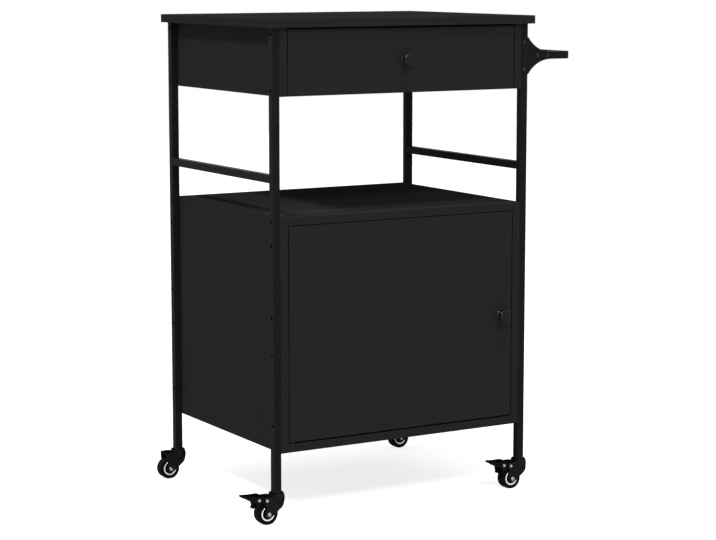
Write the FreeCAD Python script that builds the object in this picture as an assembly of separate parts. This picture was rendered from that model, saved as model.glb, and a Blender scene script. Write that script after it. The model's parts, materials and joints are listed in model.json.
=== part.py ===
"""Microwave stand on casters: square-tube frame, cabinet with one door, open bay, drawer and top.

Millimetres. +X right, +Y back, +Z up. The floor is z = 0 and the origin is the
middle of the stand's footprint, handle, knobs and brake levers included.
"""
import FreeCAD, Part
import math
import os

V = FreeCAD.Vector

# ---- frame of square tube -------------------------------------------------
FRAME_W = 563.0            # over the posts, left to right
FRAME_D = 435.0            # over the posts, front to back
POST = 15.0                # side of the square tube
TUBE_WALL = 1.2
TUBE_CORNER_R = 1.0
TOP_H = 935.0              # floor to the upper face of the tabletop
RAIL_H = 636.0             # floor to the underside of the side rails

# ---- boards ---------------------------------------------------------------
BOARD = 16.0               # tabletop, cabinet, door and drawer front
OVERHANG = 10.0            # tabletop past the posts, all round
HOUSING_H = 125.0          # drawer housing below the tabletop
SHELF_H = 573.0            # floor to the upper face of the shelf
CABINET_FLOOR_H = 131.5    # floor to the underside of the cabinet
BACK_T = 3.0               # hardboard back
BACK_INSET = 10.0          # hardboard back, in from the boards' rear edges
GROOVE_DEPTH = 5.0
GROOVE_PLAY = 0.2
GROOVE_SETBACK = 1.0       # drawer bottom behind the drawer sides' front ends
EDGE_R = 0.8               # eased edges of the boards that show

# ---- door and drawer front -----------------------------------------------
SIDE_GAP = 2.0             # door and drawer front to the side boards
DOOR_TOP_GAP = 1.5
DOOR_BOTTOM_GAP = 3.0
DRAWER_TOP_GAP = 3.0
KNOB_FROM_EDGE = 27.5      # door knob to the door's free edge
PIVOT_FROM_EDGE = 8.0      # door pivot to the hinged edge
PIVOT_FROM_FACE = 5.0      # door pivot to the front face
PIVOT_PIN_R = 2.5
PIVOT_PIN_DEPTH = 12.0     # pin length inside the door
PIN_PLAY = 0.05            # radial play of every turning pin
STRIKE_W = 30.0            # strike plate on the door's inner face
STRIKE_H = 14.0
STRIKE_T = 1.5
STRIKE_FROM_EDGE = 14.0    # strike plate to the door's free edge
STRIKE_FROM_TOP = 6.0      # strike plate to the door's top edge
STRIKE_SCREW_R = 1.5
STRIKE_SCREW_L = 10.0
CATCH_MARGIN = 4.0         # catch past the strike plate, each side
CATCH_D = 15.0
CATCH_H = 16.0
CATCH_NOSE_OUT = 1.0       # magnet ahead of the catch's body
CATCH_NOSE_IN = 3.0        # magnet narrower than the strike plate, each side
CATCH_NOSE_DROP = 8.0      # magnet below the shelf
CATCH_NOSE_H = 6.0
CATCH_GAP = 0.5            # magnet to the closed door

# ---- drawer box and roller runners ----------------------------------------
DRAWER_BOARD = 12.0
DRAWER_REAR_GAP = 39.0     # drawer box to the housing's back board
DRAWER_BOX_H = 84.0
DRAWER_BOTTOM_T = 3.0
DRAWER_FLOOR_UP = 8.0      # drawer bottom above the sides' lower edges
DRAWER_SCREW_L = 26.0      # screws through the drawer sides into its back
DRAWER_SCREW_LOW = 24.0    # their heights above the sides' lower edges
DRAWER_SCREW_HIGH = 68.0
FRONT_GROOVE = 6.0         # depth of the side boards in the drawer front
RUNNER_GAP = 12.5          # side board to drawer side
RUNNER_T = 1.2
RUNNER_SETBACK = 22.0      # runner behind the drawer front's outer face
RUNNER_REAR_GAP = 47.0     # runner to the housing's back board
RUNNER_UP = 8.0            # runner above the housing's lower edge
RAIL_TO_SIDE = 2.0         # rail's track and lip to the drawer side
SLIDER_TO_SIDE = 1.0       # slider's flange to the rail's web
TRACK_CLEAR = 3.0          # track behind the front roller
LIP_SETBACK = 12.0         # lip behind the track's front end, where the drawer tips out
EAR_HALF = 7.0             # ear on the slider, ahead of the rear roller's pin
EAR_UP = 4.0               # ear above the rail's underside
REAR_ROLLER_BACK = 4.0     # rear roller to the runner's end, drawer shut
ROLLER_R = 9.0
ROLLER_W = 7.0
ROLLER_PIN_R = 2.0
ROLL_PLAY = 0.3            # roller to the steel that it rolls on
FRONT_ROLLER_OFF = 0.5     # front roller to the rail's web
REAR_ROLLER_OFF = 1.5      # rear roller to the slider's ear

# ---- knobs ------------------------------------------------------------------
KNOB_R = 12.5
KNOB_L = 22.0
KNOB_HEAD_T = 9.0
KNOB_NECK_R = 5.5
KNOB_BASE_R = 8.0
KNOB_BASE_T = 1.5
KNOB_FLARE = 2.5           # height over which the base narrows to the neck
KNOB_UNDERCUT = 2.0        # neck's end below the head's underside
KNOB_RIM = 3.0             # rounding of the head's rim, front and back
KNOB_DOME = 0.4            # rise of the front face inside its rim
KNOB_SCREW_R = 2.0
KNOB_SCREW_IN = 9.0        # screw length inside the knob
KNOB_SCREW_HEAD_R = 4.0
KNOB_SCREW_HEAD_H = 2.2

# ---- handle -----------------------------------------------------------------
HANDLE_REACH = 97.0        # outer face of the bar past the right posts
HANDLE_DROP = 78.0         # centre of the bar below the tabletop's upper face
BRACKET_T = 2.0
BRACKET_HALF_H = 36.0      # bracket plate on the post
BRACKET_ARM_L = 52.0       # bracket plate past the post
BRACKET_SCREW_DZ = 25.5
BRACKET_SCREW_IN = 5.5     # post screws, from the post's inner edge
ARM_SCREWS = (22.0, 46.0)  # arm screws past the post
HANDLE_SCREW_L = 9.0

# ---- screws and fittings -----------------------------------------------------
SCREW_R = 2.0
SCREW_HEAD_R = 3.3
SCREW_HEAD_H = 1.8
SCREW_L = 14.0             # post screws, length inside the board
ACCESS_R = 3.6             # driver hole in a post's outer wall
HOUSING_SCREW_TOP = 12.0   # post screws below the tabletop
HOUSING_SCREW_LOW = 11.0   # post screws above the housing's lower edge
CABINET_SCREW_TOP = 37.0   # post screws below the shelf
CABINET_SCREW_MID = 34.0   # post screws above and below the cabinet's middle
CABINET_SCREW_LOW = 36.0   # post screws above the cabinet floor
CAM_R = 7.5
CAM_T = 12.0
CAM_FROM_JOINT = 24.0
CAM_BOLT_R = 3.0
CAM_BOLT_IN = 10.0         # cam bolt length inside the board that it holds
CAM_GRIP = 2.0             # cam bolt length inside the cam
CAM_INSET = 60.0           # cam fittings from the boards' front and rear edges
FIT = 0.1                  # loose fit between still pieces
PAST = 1.0                 # how far a cutting tool runs past the face that it opens

# ---- casters: (distance behind the swivel axis, height above the floor) -----------
WHEEL_R = 21.0
WHEEL_W = 21.0
TRAIL = 22.3               # wheel axle behind the swivel axis
CASTER_H = 59.0            # floor to the underside of the post's socket
SOCKET_FLANGE = 1.5        # socket between the post's end and the swivel head
SOCKET_ABOVE_STEM = 4.0
STEM_R = 4.0
STEM_UP = 36.0             # stem length inside the post
STEM_FOOT_R = 6.4          # riveted end of the stem, under the swivel head
STEM_FOOT_H = 2.2
STEM_FOOT_ROOM = 0.8       # play round the riveted end
STEM_TIP = 1.0             # chamfer of the stem's upper end
HEAD_R = 16.1              # swivel head at its widest
HEAD_TOP_R = 13.4
HEAD_FOOT_R = 15.0
HEAD_WIDEST = 6.0          # height of the widest place above the head's underside
HEAD_BEND = (15.6, 11.0)   # a place on the dome: radius, height above the head's underside
HEAD_GAP = 0.5             # swivel head to the socket above it
HEAD_SKIRT = 2.0           # swivel head below the pocket's roof
WHEEL_GAP = 1.0            # wheel to fork leg
LEG_T = 2.5
FORK_NOSE_R = 6.0          # rounding of the fork's front corners, seen from above
POCKET_R = 23.0            # wheel pocket in the fork
POCKET_TOP = 43.2          # roof of the fork's pocket
BOSS_R = 8.0               # end of the leg, round the axle
CHIN = (-12.2, 46.5)       # where the leg leaves the swivel head
CHIN_BULGE = (-9.6, 38.6)
NOSE = (-2.6, 29.8)        # lower end of the leg's front curve
HORN_L = 32.0              # rear end of the fork behind the swivel axis
HORN_LOW = 41.5
HORN_TOP = 54.3
HORN_NOTCH = (30.2, 33.5)  # where the leg's rear edge turns into the horn
HORN_SWEEP = (30.8, 38.4)
SHOULDER_L = 14.0          # front end of the horn's upper edge
AXLE_R = 3.0
AXLE_HEAD_R = 4.6
AXLE_HEAD_H = 2.6
NUT_AF = 10.0
NUT_T = 3.2
AXLE_PAST_NUT = 0.6
HUB_R = 7.2
HUB_GAP = 0.35             # wheel hub to fork leg
TYRE_EDGE = 2.0            # rounding where the tread meets the tyre's sides
RING_IN_R = 10.0           # bright trim ring on each wheel face
RING_OUT_R = 14.0
RING_T = 2.8
RING_SEAT = 3.2            # ring's seat in from the wheel's face
DISC_SINK = 2.2            # wheel disc in from the wheel's face
PEDAL_REACH = 77.2         # brake lever's tip behind the swivel axis
PEDAL_TIP_H = 61.6
PEDAL_LIP = (3.0, 0.5)         # rounding of the tip: where it starts, its middle drop
PEDAL_NOSE = (1.0, 3.1)        # lower end of the tip's rounding, along and down
PEDAL_STEP_H = 57.0        # lever's upper edge where it leaves the horn
PEDAL_TREAD = (56.0, 58.4) # lowest place of the tread's hollow curve
PEDAL_CROWN = (34.8, 57.6) # highest place near the horn
PEDAL_BELLY = (73.4, 56.6)     # two hollow curves under the pedal
PEDAL_KNEE = (68.4, 54.7)
PEDAL_BEND = (66.0, 54.0)
PEDAL_ROOT = (64.6, 52.4)  # front end of the thin part
PEDAL_HEEL = (60.3, 49.6)
PEDAL_TAPER_L = 45.0           # where the pedal starts to narrow
PEDAL_TAPER = (64.0, 8.6)      # half width further back
PEDAL_TIP_HALF = 2.6
PEDAL_WALL = 2.0
CLAW_HALF = 3.2                # half the width of the web under the pedal
CLAW_TOP = (52.6, 47.2)
CLAW_NOTCH = (48.8, 44.6)
CLAW_TIP = (54.2, 35.8)
CLAW_END = (53.8, 34.4)
CLAW_LOW = (50.4, 33.0)
SHOE_BACK = (49.0, 45.4)       # rear face of the brake shoe, its upper end
SHOE_HEEL = (46.5, 35.0)
SHOE_LOW = 34.0                # degrees above the axle, ends of the brake shoe's arc
SHOE_HIGH = 70.0
TONGUE_R = 4.2                 # lever's end round its pivot
TONGUE_GAP = 0.5               # lever's tongue to the fork legs
HORN_CLEAR = 1.5               # lever to the horn's end
BRAKE_PIVOT = (26.6, 47.4)
BRAKE_RIVET = (42.8, 50.0)
RIVET_R = 2.0
RIVET_HEAD_R = 3.4
RIVET_HEAD_H = 1.3
RIVET_GAP = 0.3                # pivot rivet's heads to the fork legs
BRAKE_GAP = 4.0                # brake shoe to tyre with the brake off

# ---- places worked out from the sizes above -----------------------------------
X_MAX = FRAME_W + HANDLE_REACH
X_MIN = POST / 2 - PEDAL_REACH
LEFT = -(X_MAX + X_MIN) / 2
RIGHT = LEFT + FRAME_W
FRONT = -(FRAME_D + OVERHANG - KNOB_L) / 2
BACK = FRONT + FRAME_D
IN_LEFT = LEFT + POST                  # inner faces of the posts
IN_RIGHT = RIGHT - POST
BAY_LEFT = IN_LEFT + BOARD             # inner faces of the side boards
BAY_RIGHT = IN_RIGHT - BOARD
MID_X = (LEFT + RIGHT) / 2
TOP_UNDER = TOP_H - BOARD
HANDLE_H = TOP_H - HANDLE_DROP
HOUSING_LOW = TOP_UNDER - HOUSING_H
SHELF_UNDER = SHELF_H - BOARD
CABINET_FLOOR = CABINET_FLOOR_H + BOARD
DOOR_LEFT = BAY_LEFT + SIDE_GAP
DOOR_RIGHT = BAY_RIGHT - SIDE_GAP
DOOR_LOW = CABINET_FLOOR + DOOR_BOTTOM_GAP
DOOR_TOP = SHELF_UNDER - DOOR_TOP_GAP
PIVOT_X = DOOR_LEFT + PIVOT_FROM_EDGE
PIVOT_Y = FRONT + PIVOT_FROM_FACE
KNOB_DOOR = (DOOR_RIGHT - KNOB_FROM_EDGE, (DOOR_LOW + DOOR_TOP) / 2)
KNOB_DRAWER = (MID_X, (HOUSING_LOW + TOP_UNDER) / 2)
DRAWER_OUT_L = BAY_LEFT + RUNNER_GAP   # outer faces of the drawer sides
DRAWER_OUT_R = BAY_RIGHT - RUNNER_GAP
DRAWER_Y0 = FRONT + BOARD - FRONT_GROOVE
DRAWER_Y1 = BACK - BOARD - DRAWER_REAR_GAP
RUNNER_Y0 = FRONT + RUNNER_SETBACK
RUNNER_Y1 = BACK - BOARD - RUNNER_REAR_GAP
RUNNER_LOW = HOUSING_LOW + RUNNER_UP
ROLLER_Z = RUNNER_LOW + RUNNER_T + ROLL_PLAY + ROLLER_R
FLANGE_Z = ROLLER_Z + ROLLER_R + ROLL_PLAY       # underside of the drawer's flange
LIP_Z = FLANGE_Z + RUNNER_T + 2 * ROLL_PLAY      # underside of the rail's lip
DRAWER_LOW = FLANGE_Z + RUNNER_T
FRONT_ROLLER_Y = RUNNER_Y0 + ROLLER_R
REAR_ROLLER_Y = RUNNER_Y1 - ROLLER_R - REAR_ROLLER_BACK
LEG_IN = WHEEL_W / 2 + WHEEL_GAP
LEG_OUT = LEG_IN + LEG_T
BACK_Y = BACK - BACK_INSET - BACK_T    # front face of the hardboard back
CABINET_MID = (CABINET_FLOOR + SHELF_UNDER) / 2
SOCKET_TOP = CASTER_H + SOCKET_FLANGE
CORNERS = {
    "front_left": (LEFT + POST / 2, FRONT + POST / 2),
    "front_right": (RIGHT - POST / 2, FRONT + POST / 2),
    "back_left": (LEFT + POST / 2, BACK - POST / 2),
    "back_right": (RIGHT - POST / 2, BACK - POST / 2),
}
SCREW_HEIGHTS = (
    TOP_UNDER - HOUSING_SCREW_TOP, HOUSING_LOW + HOUSING_SCREW_LOW, SHELF_H - BOARD / 2,
    SHELF_UNDER - CABINET_SCREW_TOP, CABINET_MID + CABINET_SCREW_MID,
    CABINET_MID - CABINET_SCREW_MID, CABINET_FLOOR + CABINET_SCREW_LOW,
)


# ---- helpers -------------------------------------------------------------------
def block(x0, x1, y0, y1, z0, z1):
    """A box between two corners."""
    return Part.makeBox(x1 - x0, y1 - y0, z1 - z0, V(x0, y0, z0))


def rod(start, axis, radius, length):
    """A cylinder from a point along a direction."""
    return Part.makeCylinder(radius, length, V(*start), V(*axis))


def lathe(profile, start, axis):
    """Turn a closed profile of (radius, height) points about an axis from a point."""
    pts = [V(r, 0, h) for r, h in profile]
    face = Part.Face(Part.makePolygon(pts + pts[:1]))
    solid = face.revolve(V(0, 0, 0), V(0, 0, 1), 360)
    turn = FreeCAD.Rotation(V(0, 0, 1), V(*axis))
    solid.Placement = FreeCAD.Placement(V(*start), turn)
    return solid


def group(pieces):
    """Separate solids that share a node."""
    return Part.makeCompound(pieces)


def cut_all(body, tools):
    """Cut every tool from a body, and keep one clean solid."""
    return body.cut(Part.makeCompound(tools)).removeSplitter().Solids[0]


def outline(points):
    """A closed wire: a point is a corner, and a pair (middle, end) is an arc to end."""
    edges = []
    here = points[0]
    for step in points[1:]:
        if isinstance(step[0], tuple):
            middle, end = step
            edges.append(Part.Arc(V(here[0], 0, here[1]), V(middle[0], 0, middle[1]),
                                  V(end[0], 0, end[1])).toShape())
            here = end
        else:
            edges.append(Part.LineSegment(V(here[0], 0, here[1]), V(step[0], 0, step[1])).toShape())
            here = step
    return Part.Wire(edges)


def slab(points, half):
    """An outline in the XZ plane made as thick as 2 * half, centred on y = 0."""
    face = Part.Face(outline(points))
    return face.extrude(V(0, 2 * half, 0)).translated(V(0, -half, 0))


def eased(board, radius=EDGE_R):
    """A board with all its edges eased."""
    return board.makeFillet(radius, board.Edges)


# ---- frame ------------------------------------------------------------------------
def square_tube(length):
    """A square tube along +Z, centred on the axis."""
    half = POST / 2
    outer = block(-half, half, -half, half, 0, length)
    uprights = [e for e in outer.Edges if abs(e.Vertexes[0].Z - e.Vertexes[1].Z) > length / 2]
    outer = outer.makeFillet(TUBE_CORNER_R, uprights)
    inner = half - TUBE_WALL
    return outer.cut(block(-inner, inner, -inner, inner, -PAST, length + PAST))


def post(corner):
    """An upright with driver holes in its outer wall and screw holes in its inner wall."""
    x, y = CORNERS[corner]
    side = -1 if x < MID_X else 1
    tools = []
    for z in SCREW_HEIGHTS:
        tools.append(rod((x, y, z), (side, 0, 0), ACCESS_R, POST))
        tools.append(rod((x, y, z), (-side, 0, 0), SCREW_R + FIT, POST))
    if side > 0:
        face = -1 if y < 0 else 1
        for dz in (-BRACKET_SCREW_DZ, BRACKET_SCREW_DZ):
            start = (IN_RIGHT + BRACKET_SCREW_IN, y, HANDLE_H + dz)
            tools.append(rod(start, (0, face, 0), SCREW_R, POST))
    tube = square_tube(TOP_UNDER - SOCKET_TOP).translated(V(x, y, SOCKET_TOP))
    return cut_all(tube, tools)


def rail(side):
    """A tube between the front and back posts, on one side."""
    tube = square_tube(FRAME_D - 2 * POST)
    tube.rotate(V(0, 0, 0), V(1, 0, 0), -90)
    x = LEFT + POST / 2 if side < 0 else RIGHT - POST / 2
    return tube.translated(V(x, FRONT + POST, RAIL_H + POST / 2))


def screw(start, axis, length, head_r=SCREW_HEAD_R, head_h=SCREW_HEAD_H, shank_r=SCREW_R):
    """A pan-head screw: start is under its head, and axis is the way it goes in."""
    profile = [(0, -head_h), (head_r * 0.7, -head_h), (head_r, -head_h * 0.45), (head_r, 0),
               (shank_r, 0), (shank_r, length), (0, length)]
    return lathe(profile, start, axis)


def post_screws():
    """Screws whose heads sit inside the posts and that hold the side boards and shelf."""
    found = []
    for x, y in CORNERS.values():
        side = -1 if x < MID_X else 1
        under_head = x - side * (POST / 2 - TUBE_WALL)
        for z in SCREW_HEIGHTS:
            found.append(screw((under_head, y, z), (-side, 0, 0), TUBE_WALL + SCREW_L))
    return group(found)


def screw_pilots(z_low, z_high):
    """Pilot holes for the post screws that lie between two heights."""
    tools = []
    for x, y in CORNERS.values():
        side = -1 if x < MID_X else 1
        face = x - side * POST / 2
        for z in SCREW_HEIGHTS:
            if z_low < z < z_high:
                tools.append(rod((face + side * PAST, y, z), (-side, 0, 0), SCREW_R, SCREW_L + PAST))
    return tools


# ---- boards ---------------------------------------------------------------------------
def cam_joints():
    """Each cam joint: cam centre, direction to the board it pulls, and cam axis."""
    joints = []
    for side, face in ((-1, BAY_LEFT), (1, BAY_RIGHT)):
        for y in (FRONT + CAM_INSET, BACK - CAM_INSET):
            cam_z = TOP_UNDER - CAM_FROM_JOINT
            joints.append(((face, y, cam_z), (0, 0, 1), (side, 0, 0)))
            cam_x = face - side * CAM_FROM_JOINT
            joints.append(((cam_x, y, CABINET_FLOOR_H), (side, 0, 0), (0, 0, 1)))
        cam_x = face - side * CAM_FROM_JOINT
        joints.append(((cam_x, BACK, HOUSING_LOW + HOUSING_H / 2), (side, 0, 0), (0, -1, 0)))
    return joints


def cam_tools(play):
    """Cams and their bolts, larger by a play when they are the holes."""
    cams = []
    bolts = []
    for centre, pull, axis in cam_joints():
        cams.append(rod(centre, axis, CAM_R + play, CAM_T + play))
        mid = V(*centre) + V(*axis) * (BOARD / 2)
        start = mid + V(*pull) * (CAM_R - CAM_GRIP)
        length = CAM_FROM_JOINT - CAM_R + CAM_GRIP + CAM_BOLT_IN + play
        bolts.append(rod(tuple(start), pull, CAM_BOLT_R + play, length))
    return cams, bolts


def cam_locks():
    """Ten cam fittings, each a round cam and the bolt that it pulls."""
    cams, bolts = cam_tools(0)
    return group([cam.cut(bolt) for cam, bolt in zip(cams, bolts)] + bolts)


CAM_HOLES = [tool for tools in cam_tools(FIT) for tool in tools]


def drilled(board, z_low, z_high):
    """A board with its cam holes and the pilots of the post screws."""
    return cut_all(board, CAM_HOLES + screw_pilots(z_low, z_high))


def tabletop():
    """The top board, which overhangs the posts all round."""
    board = block(LEFT - OVERHANG, RIGHT + OVERHANG, FRONT - OVERHANG, BACK + OVERHANG, TOP_UNDER, TOP_H)
    return drilled(eased(board), TOP_H, TOP_H)


def housing_side(side):
    """A side board of the drawer housing, between the posts' inner faces."""
    x0 = IN_LEFT if side < 0 else BAY_RIGHT
    board = block(x0, x0 + BOARD, FRONT, BACK, HOUSING_LOW, TOP_UNDER)
    return drilled(board, HOUSING_LOW, TOP_UNDER)


def housing_back():
    """The back board of the drawer housing, between its side boards."""
    board = block(BAY_LEFT, BAY_RIGHT, BACK - BOARD, BACK, HOUSING_LOW, TOP_UNDER)
    return drilled(board, TOP_H, TOP_H)


def back_groove():
    """The hardboard back grown by its groove's play."""
    x0 = BAY_LEFT - GROOVE_DEPTH
    x1 = BAY_RIGHT + GROOVE_DEPTH
    z0 = CABINET_FLOOR - GROOVE_DEPTH
    z1 = SHELF_UNDER + GROOVE_DEPTH
    return block(x0, x1, BACK_Y - GROOVE_PLAY, BACK_Y + BACK_T + GROOVE_PLAY, z0, z1)


def pivot_hole(z0, z1):
    """A hole for a door pivot pin that is pressed in."""
    return rod((PIVOT_X, PIVOT_Y, z0), (0, 0, 1), PIVOT_PIN_R, z1 - z0)


def shelf_panel():
    """The cabinet's top board, which is the floor of the open bay."""
    board = eased(block(IN_LEFT, IN_RIGHT, FRONT, BACK, SHELF_UNDER, SHELF_H))
    board = drilled(board, SHELF_UNDER, SHELF_H)
    return cut_all(board, [back_groove(), pivot_hole(SHELF_UNDER - PAST, SHELF_UNDER + PIVOT_PIN_DEPTH)])


def cabinet_side(side):
    """A side board of the cabinet, between the posts' inner faces."""
    x0 = IN_LEFT if side < 0 else BAY_RIGHT
    board = block(x0, x0 + BOARD, FRONT, BACK, CABINET_FLOOR_H, SHELF_UNDER)
    return cut_all(drilled(board, CABINET_FLOOR_H, SHELF_UNDER), [back_groove()])


def cabinet_bottom():
    """The cabinet's floor board, between its side boards."""
    board = block(BAY_LEFT, BAY_RIGHT, FRONT, BACK, CABINET_FLOOR_H, CABINET_FLOOR)
    board = drilled(board, TOP_H, TOP_H)
    hole = pivot_hole(CABINET_FLOOR - PIVOT_PIN_DEPTH, CABINET_FLOOR + PAST)
    return cut_all(board, [back_groove(), hole])


def cabinet_back():
    """The hardboard back in the grooves of the boards round it."""
    inset = GROOVE_DEPTH - GROOVE_PLAY
    return block(BAY_LEFT - inset, BAY_RIGHT + inset, BACK_Y, BACK_Y + BACK_T,
                 CABINET_FLOOR - inset, SHELF_UNDER + inset)


# ---- door ---------------------------------------------------------------------------------
def knob(x, z):
    """A mushroom knob on a front face, with a blind hole for its screw."""
    head = KNOB_L - KNOB_HEAD_T
    slope = KNOB_R * 0.8
    profile = [(0, 0), (KNOB_BASE_R, 0), (KNOB_BASE_R, KNOB_BASE_T), (KNOB_NECK_R, KNOB_BASE_T + KNOB_FLARE),
               (KNOB_NECK_R, head - KNOB_UNDERCUT), (slope, head), (KNOB_R, head + KNOB_RIM),
               (KNOB_R, KNOB_L - KNOB_RIM), (KNOB_R * 0.96, KNOB_L - KNOB_RIM / 2),
               (slope, KNOB_L - KNOB_DOME), (0, KNOB_L)]
    solid = lathe(profile, (x, FRONT, z), (0, -1, 0))
    hole = rod((x, FRONT + PAST, z), (0, -1, 0), KNOB_SCREW_R, KNOB_SCREW_IN + PAST)
    return cut_all(solid, [hole])


def knob_screw(x, z):
    """The screw that comes through a front from inside into its knob."""
    start = (x, FRONT + BOARD, z)
    length = BOARD + KNOB_SCREW_IN
    return screw(start, (0, -1, 0), length, KNOB_SCREW_HEAD_R, KNOB_SCREW_HEAD_H, KNOB_SCREW_R)


def knob_hole(x, z):
    """The hole through a front for its knob screw."""
    return rod((x, FRONT - PAST, z), (0, 1, 0), KNOB_SCREW_R + FIT, BOARD + 2 * PAST)


def strike_box(play):
    """The steel strike plate let into the door's inner face, larger by a play when it is the recess."""
    x1 = DOOR_RIGHT - STRIKE_FROM_EDGE
    z1 = DOOR_TOP - STRIKE_FROM_TOP
    y1 = FRONT + BOARD
    return block(x1 - STRIKE_W - play, x1 + play, y1 - STRIKE_T - play, y1 + play,
                 z1 - STRIKE_H - play, z1 + play)


def strike_screw():
    """The countersunk screw of the strike plate."""
    box = strike_box(0).BoundBox
    start = ((box.XMin + box.XMax) / 2, FRONT + BOARD, (box.ZMin + box.ZMax) / 2)
    profile = [(0, 0), (STRIKE_SCREW_R + STRIKE_T, 0), (STRIKE_SCREW_R, STRIKE_T),
               (STRIKE_SCREW_R, STRIKE_SCREW_L), (0, STRIKE_SCREW_L)]
    return lathe(profile, start, (0, -1, 0))


def door_panel():
    """The door board with its pivot, knob and strike plate holes."""
    board = eased(block(DOOR_LEFT, DOOR_RIGHT, FRONT, FRONT + BOARD, DOOR_LOW, DOOR_TOP))
    tools = [knob_hole(*KNOB_DOOR), strike_box(FIT), strike_screw()]
    for z0 in (DOOR_LOW - PAST, DOOR_TOP - PIVOT_PIN_DEPTH - PAST):
        start = (PIVOT_X, PIVOT_Y, z0)
        tools.append(rod(start, (0, 0, 1), PIVOT_PIN_R + PIN_PLAY, PIVOT_PIN_DEPTH + 2 * PAST))
    return cut_all(board, tools)


def door_pivot_pins():
    """The two pins, pressed into the shelf and the cabinet floor, that the door turns on."""
    low = CABINET_FLOOR - PIVOT_PIN_DEPTH
    low_length = 2 * PIVOT_PIN_DEPTH + DOOR_BOTTOM_GAP
    high_length = 2 * PIVOT_PIN_DEPTH + DOOR_TOP_GAP
    high = SHELF_UNDER + PIVOT_PIN_DEPTH - high_length
    return group([rod((PIVOT_X, PIVOT_Y, low), (0, 0, 1), PIVOT_PIN_R, low_length),
                  rod((PIVOT_X, PIVOT_Y, high), (0, 0, 1), PIVOT_PIN_R, high_length)])


def door_catch():
    """A magnetic catch under the shelf, just behind the closed door's strike plate."""
    box = strike_box(0).BoundBox
    y0 = FRONT + BOARD + CATCH_GAP
    y1 = y0 + CATCH_NOSE_OUT
    body = block(box.XMin - CATCH_MARGIN, box.XMax + CATCH_MARGIN, y1, y1 + CATCH_D,
                 SHELF_UNDER - CATCH_H, SHELF_UNDER)
    z1 = SHELF_UNDER - CATCH_NOSE_DROP
    nose = block(box.XMin + CATCH_NOSE_IN, box.XMax - CATCH_NOSE_IN, y0, y1 + PAST, z1 - CATCH_NOSE_H, z1)
    return body.fuse(nose).removeSplitter().Solids[0]


# ---- drawer -----------------------------------------------------------------------------------
def drawer_front():
    """The drawer front, grooved at the back for the drawer sides."""
    top = TOP_UNDER - DRAWER_TOP_GAP
    board = eased(block(DOOR_LEFT, DOOR_RIGHT, FRONT, FRONT + BOARD, HOUSING_LOW, top))
    tools = [knob_hole(*KNOB_DRAWER), drawer_floor(GROOVE_PLAY)]
    for x0 in (DRAWER_OUT_L, DRAWER_OUT_R - DRAWER_BOARD):
        tools.append(block(x0 - FIT, x0 + DRAWER_BOARD + FIT, DRAWER_Y0, FRONT + BOARD + PAST,
                           DRAWER_LOW - FIT, DRAWER_LOW + DRAWER_BOX_H + FIT))
    return cut_all(board, tools)


def drawer_floor(play):
    """The drawer's hardboard bottom, in grooves all round, larger by a play when it is the groove."""
    x0 = DRAWER_OUT_L + DRAWER_BOARD - GROOVE_DEPTH - play
    x1 = DRAWER_OUT_R - DRAWER_BOARD + GROOVE_DEPTH + play
    y0 = DRAWER_Y0 + GROOVE_SETBACK - play
    y1 = DRAWER_Y1 - DRAWER_BOARD + GROOVE_DEPTH + play
    z0 = DRAWER_LOW + DRAWER_FLOOR_UP
    return block(x0, x1, y0, y1, z0 - play, z0 + DRAWER_BOTTOM_T + play)


def drawer_back_screws(side):
    """Screws through one drawer side into the end of the drawer back."""
    x = DRAWER_OUT_L + SCREW_HEAD_H if side < 0 else DRAWER_OUT_R - SCREW_HEAD_H
    y = DRAWER_Y1 - DRAWER_BOARD / 2
    heights = (DRAWER_LOW + DRAWER_SCREW_LOW, DRAWER_LOW + DRAWER_SCREW_HIGH)
    return [screw((x, y, z), (-side, 0, 0), DRAWER_SCREW_L) for z in heights]


def drawer_side(side):
    """A drawer side board: grooved for the bottom, counterbored for the back screws."""
    x0 = DRAWER_OUT_L if side < 0 else DRAWER_OUT_R - DRAWER_BOARD
    board = block(x0, x0 + DRAWER_BOARD, DRAWER_Y0, DRAWER_Y1, DRAWER_LOW, DRAWER_LOW + DRAWER_BOX_H)
    return cut_all(board, [drawer_floor(GROOVE_PLAY)] + drawer_back_screws(side))


def drawer_back():
    """The drawer's back board, between its sides."""
    x0 = DRAWER_OUT_L + DRAWER_BOARD
    x1 = DRAWER_OUT_R - DRAWER_BOARD
    board = block(x0, x1, DRAWER_Y1 - DRAWER_BOARD, DRAWER_Y1, DRAWER_LOW, DRAWER_LOW + DRAWER_BOX_H)
    return cut_all(board, [drawer_floor(GROOVE_PLAY)] + drawer_back_screws(-1) + drawer_back_screws(1))


def runner_strip(face, way):
    """A function that makes boxes measured from an upright face, in one direction along X."""
    def strip(s0, s1, y0, y1, z0, z1):
        a = face + way * s0
        b = face + way * s1
        return block(min(a, b), max(a, b), y0, y1, z0, z1)
    return strip


def runner_rail(side):
    """A steel rail on a housing side: web, track, lip, end stop and the pin of the front roller."""
    face = BAY_LEFT if side < 0 else BAY_RIGHT
    strip = runner_strip(face, -side)
    reach = RUNNER_GAP - RAIL_TO_SIDE
    track_y = FRONT_ROLLER_Y + ROLLER_R + TRACK_CLEAR
    web = strip(0, RUNNER_T, RUNNER_Y0, RUNNER_Y1, RUNNER_LOW, LIP_Z + RUNNER_T)
    track = strip(0, reach, track_y, RUNNER_Y1, RUNNER_LOW, RUNNER_LOW + RUNNER_T)
    lip = strip(0, reach, track_y + LIP_SETBACK, RUNNER_Y1, LIP_Z, LIP_Z + RUNNER_T)
    stop = strip(0, reach, RUNNER_Y1 - RUNNER_T, RUNNER_Y1, RUNNER_LOW, LIP_Z + RUNNER_T)
    pin = rod((face, FRONT_ROLLER_Y, ROLLER_Z), (-side, 0, 0), ROLLER_PIN_R, reach)
    return web.fuse([track, lip, stop, pin]).removeSplitter().Solids[0]


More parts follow.
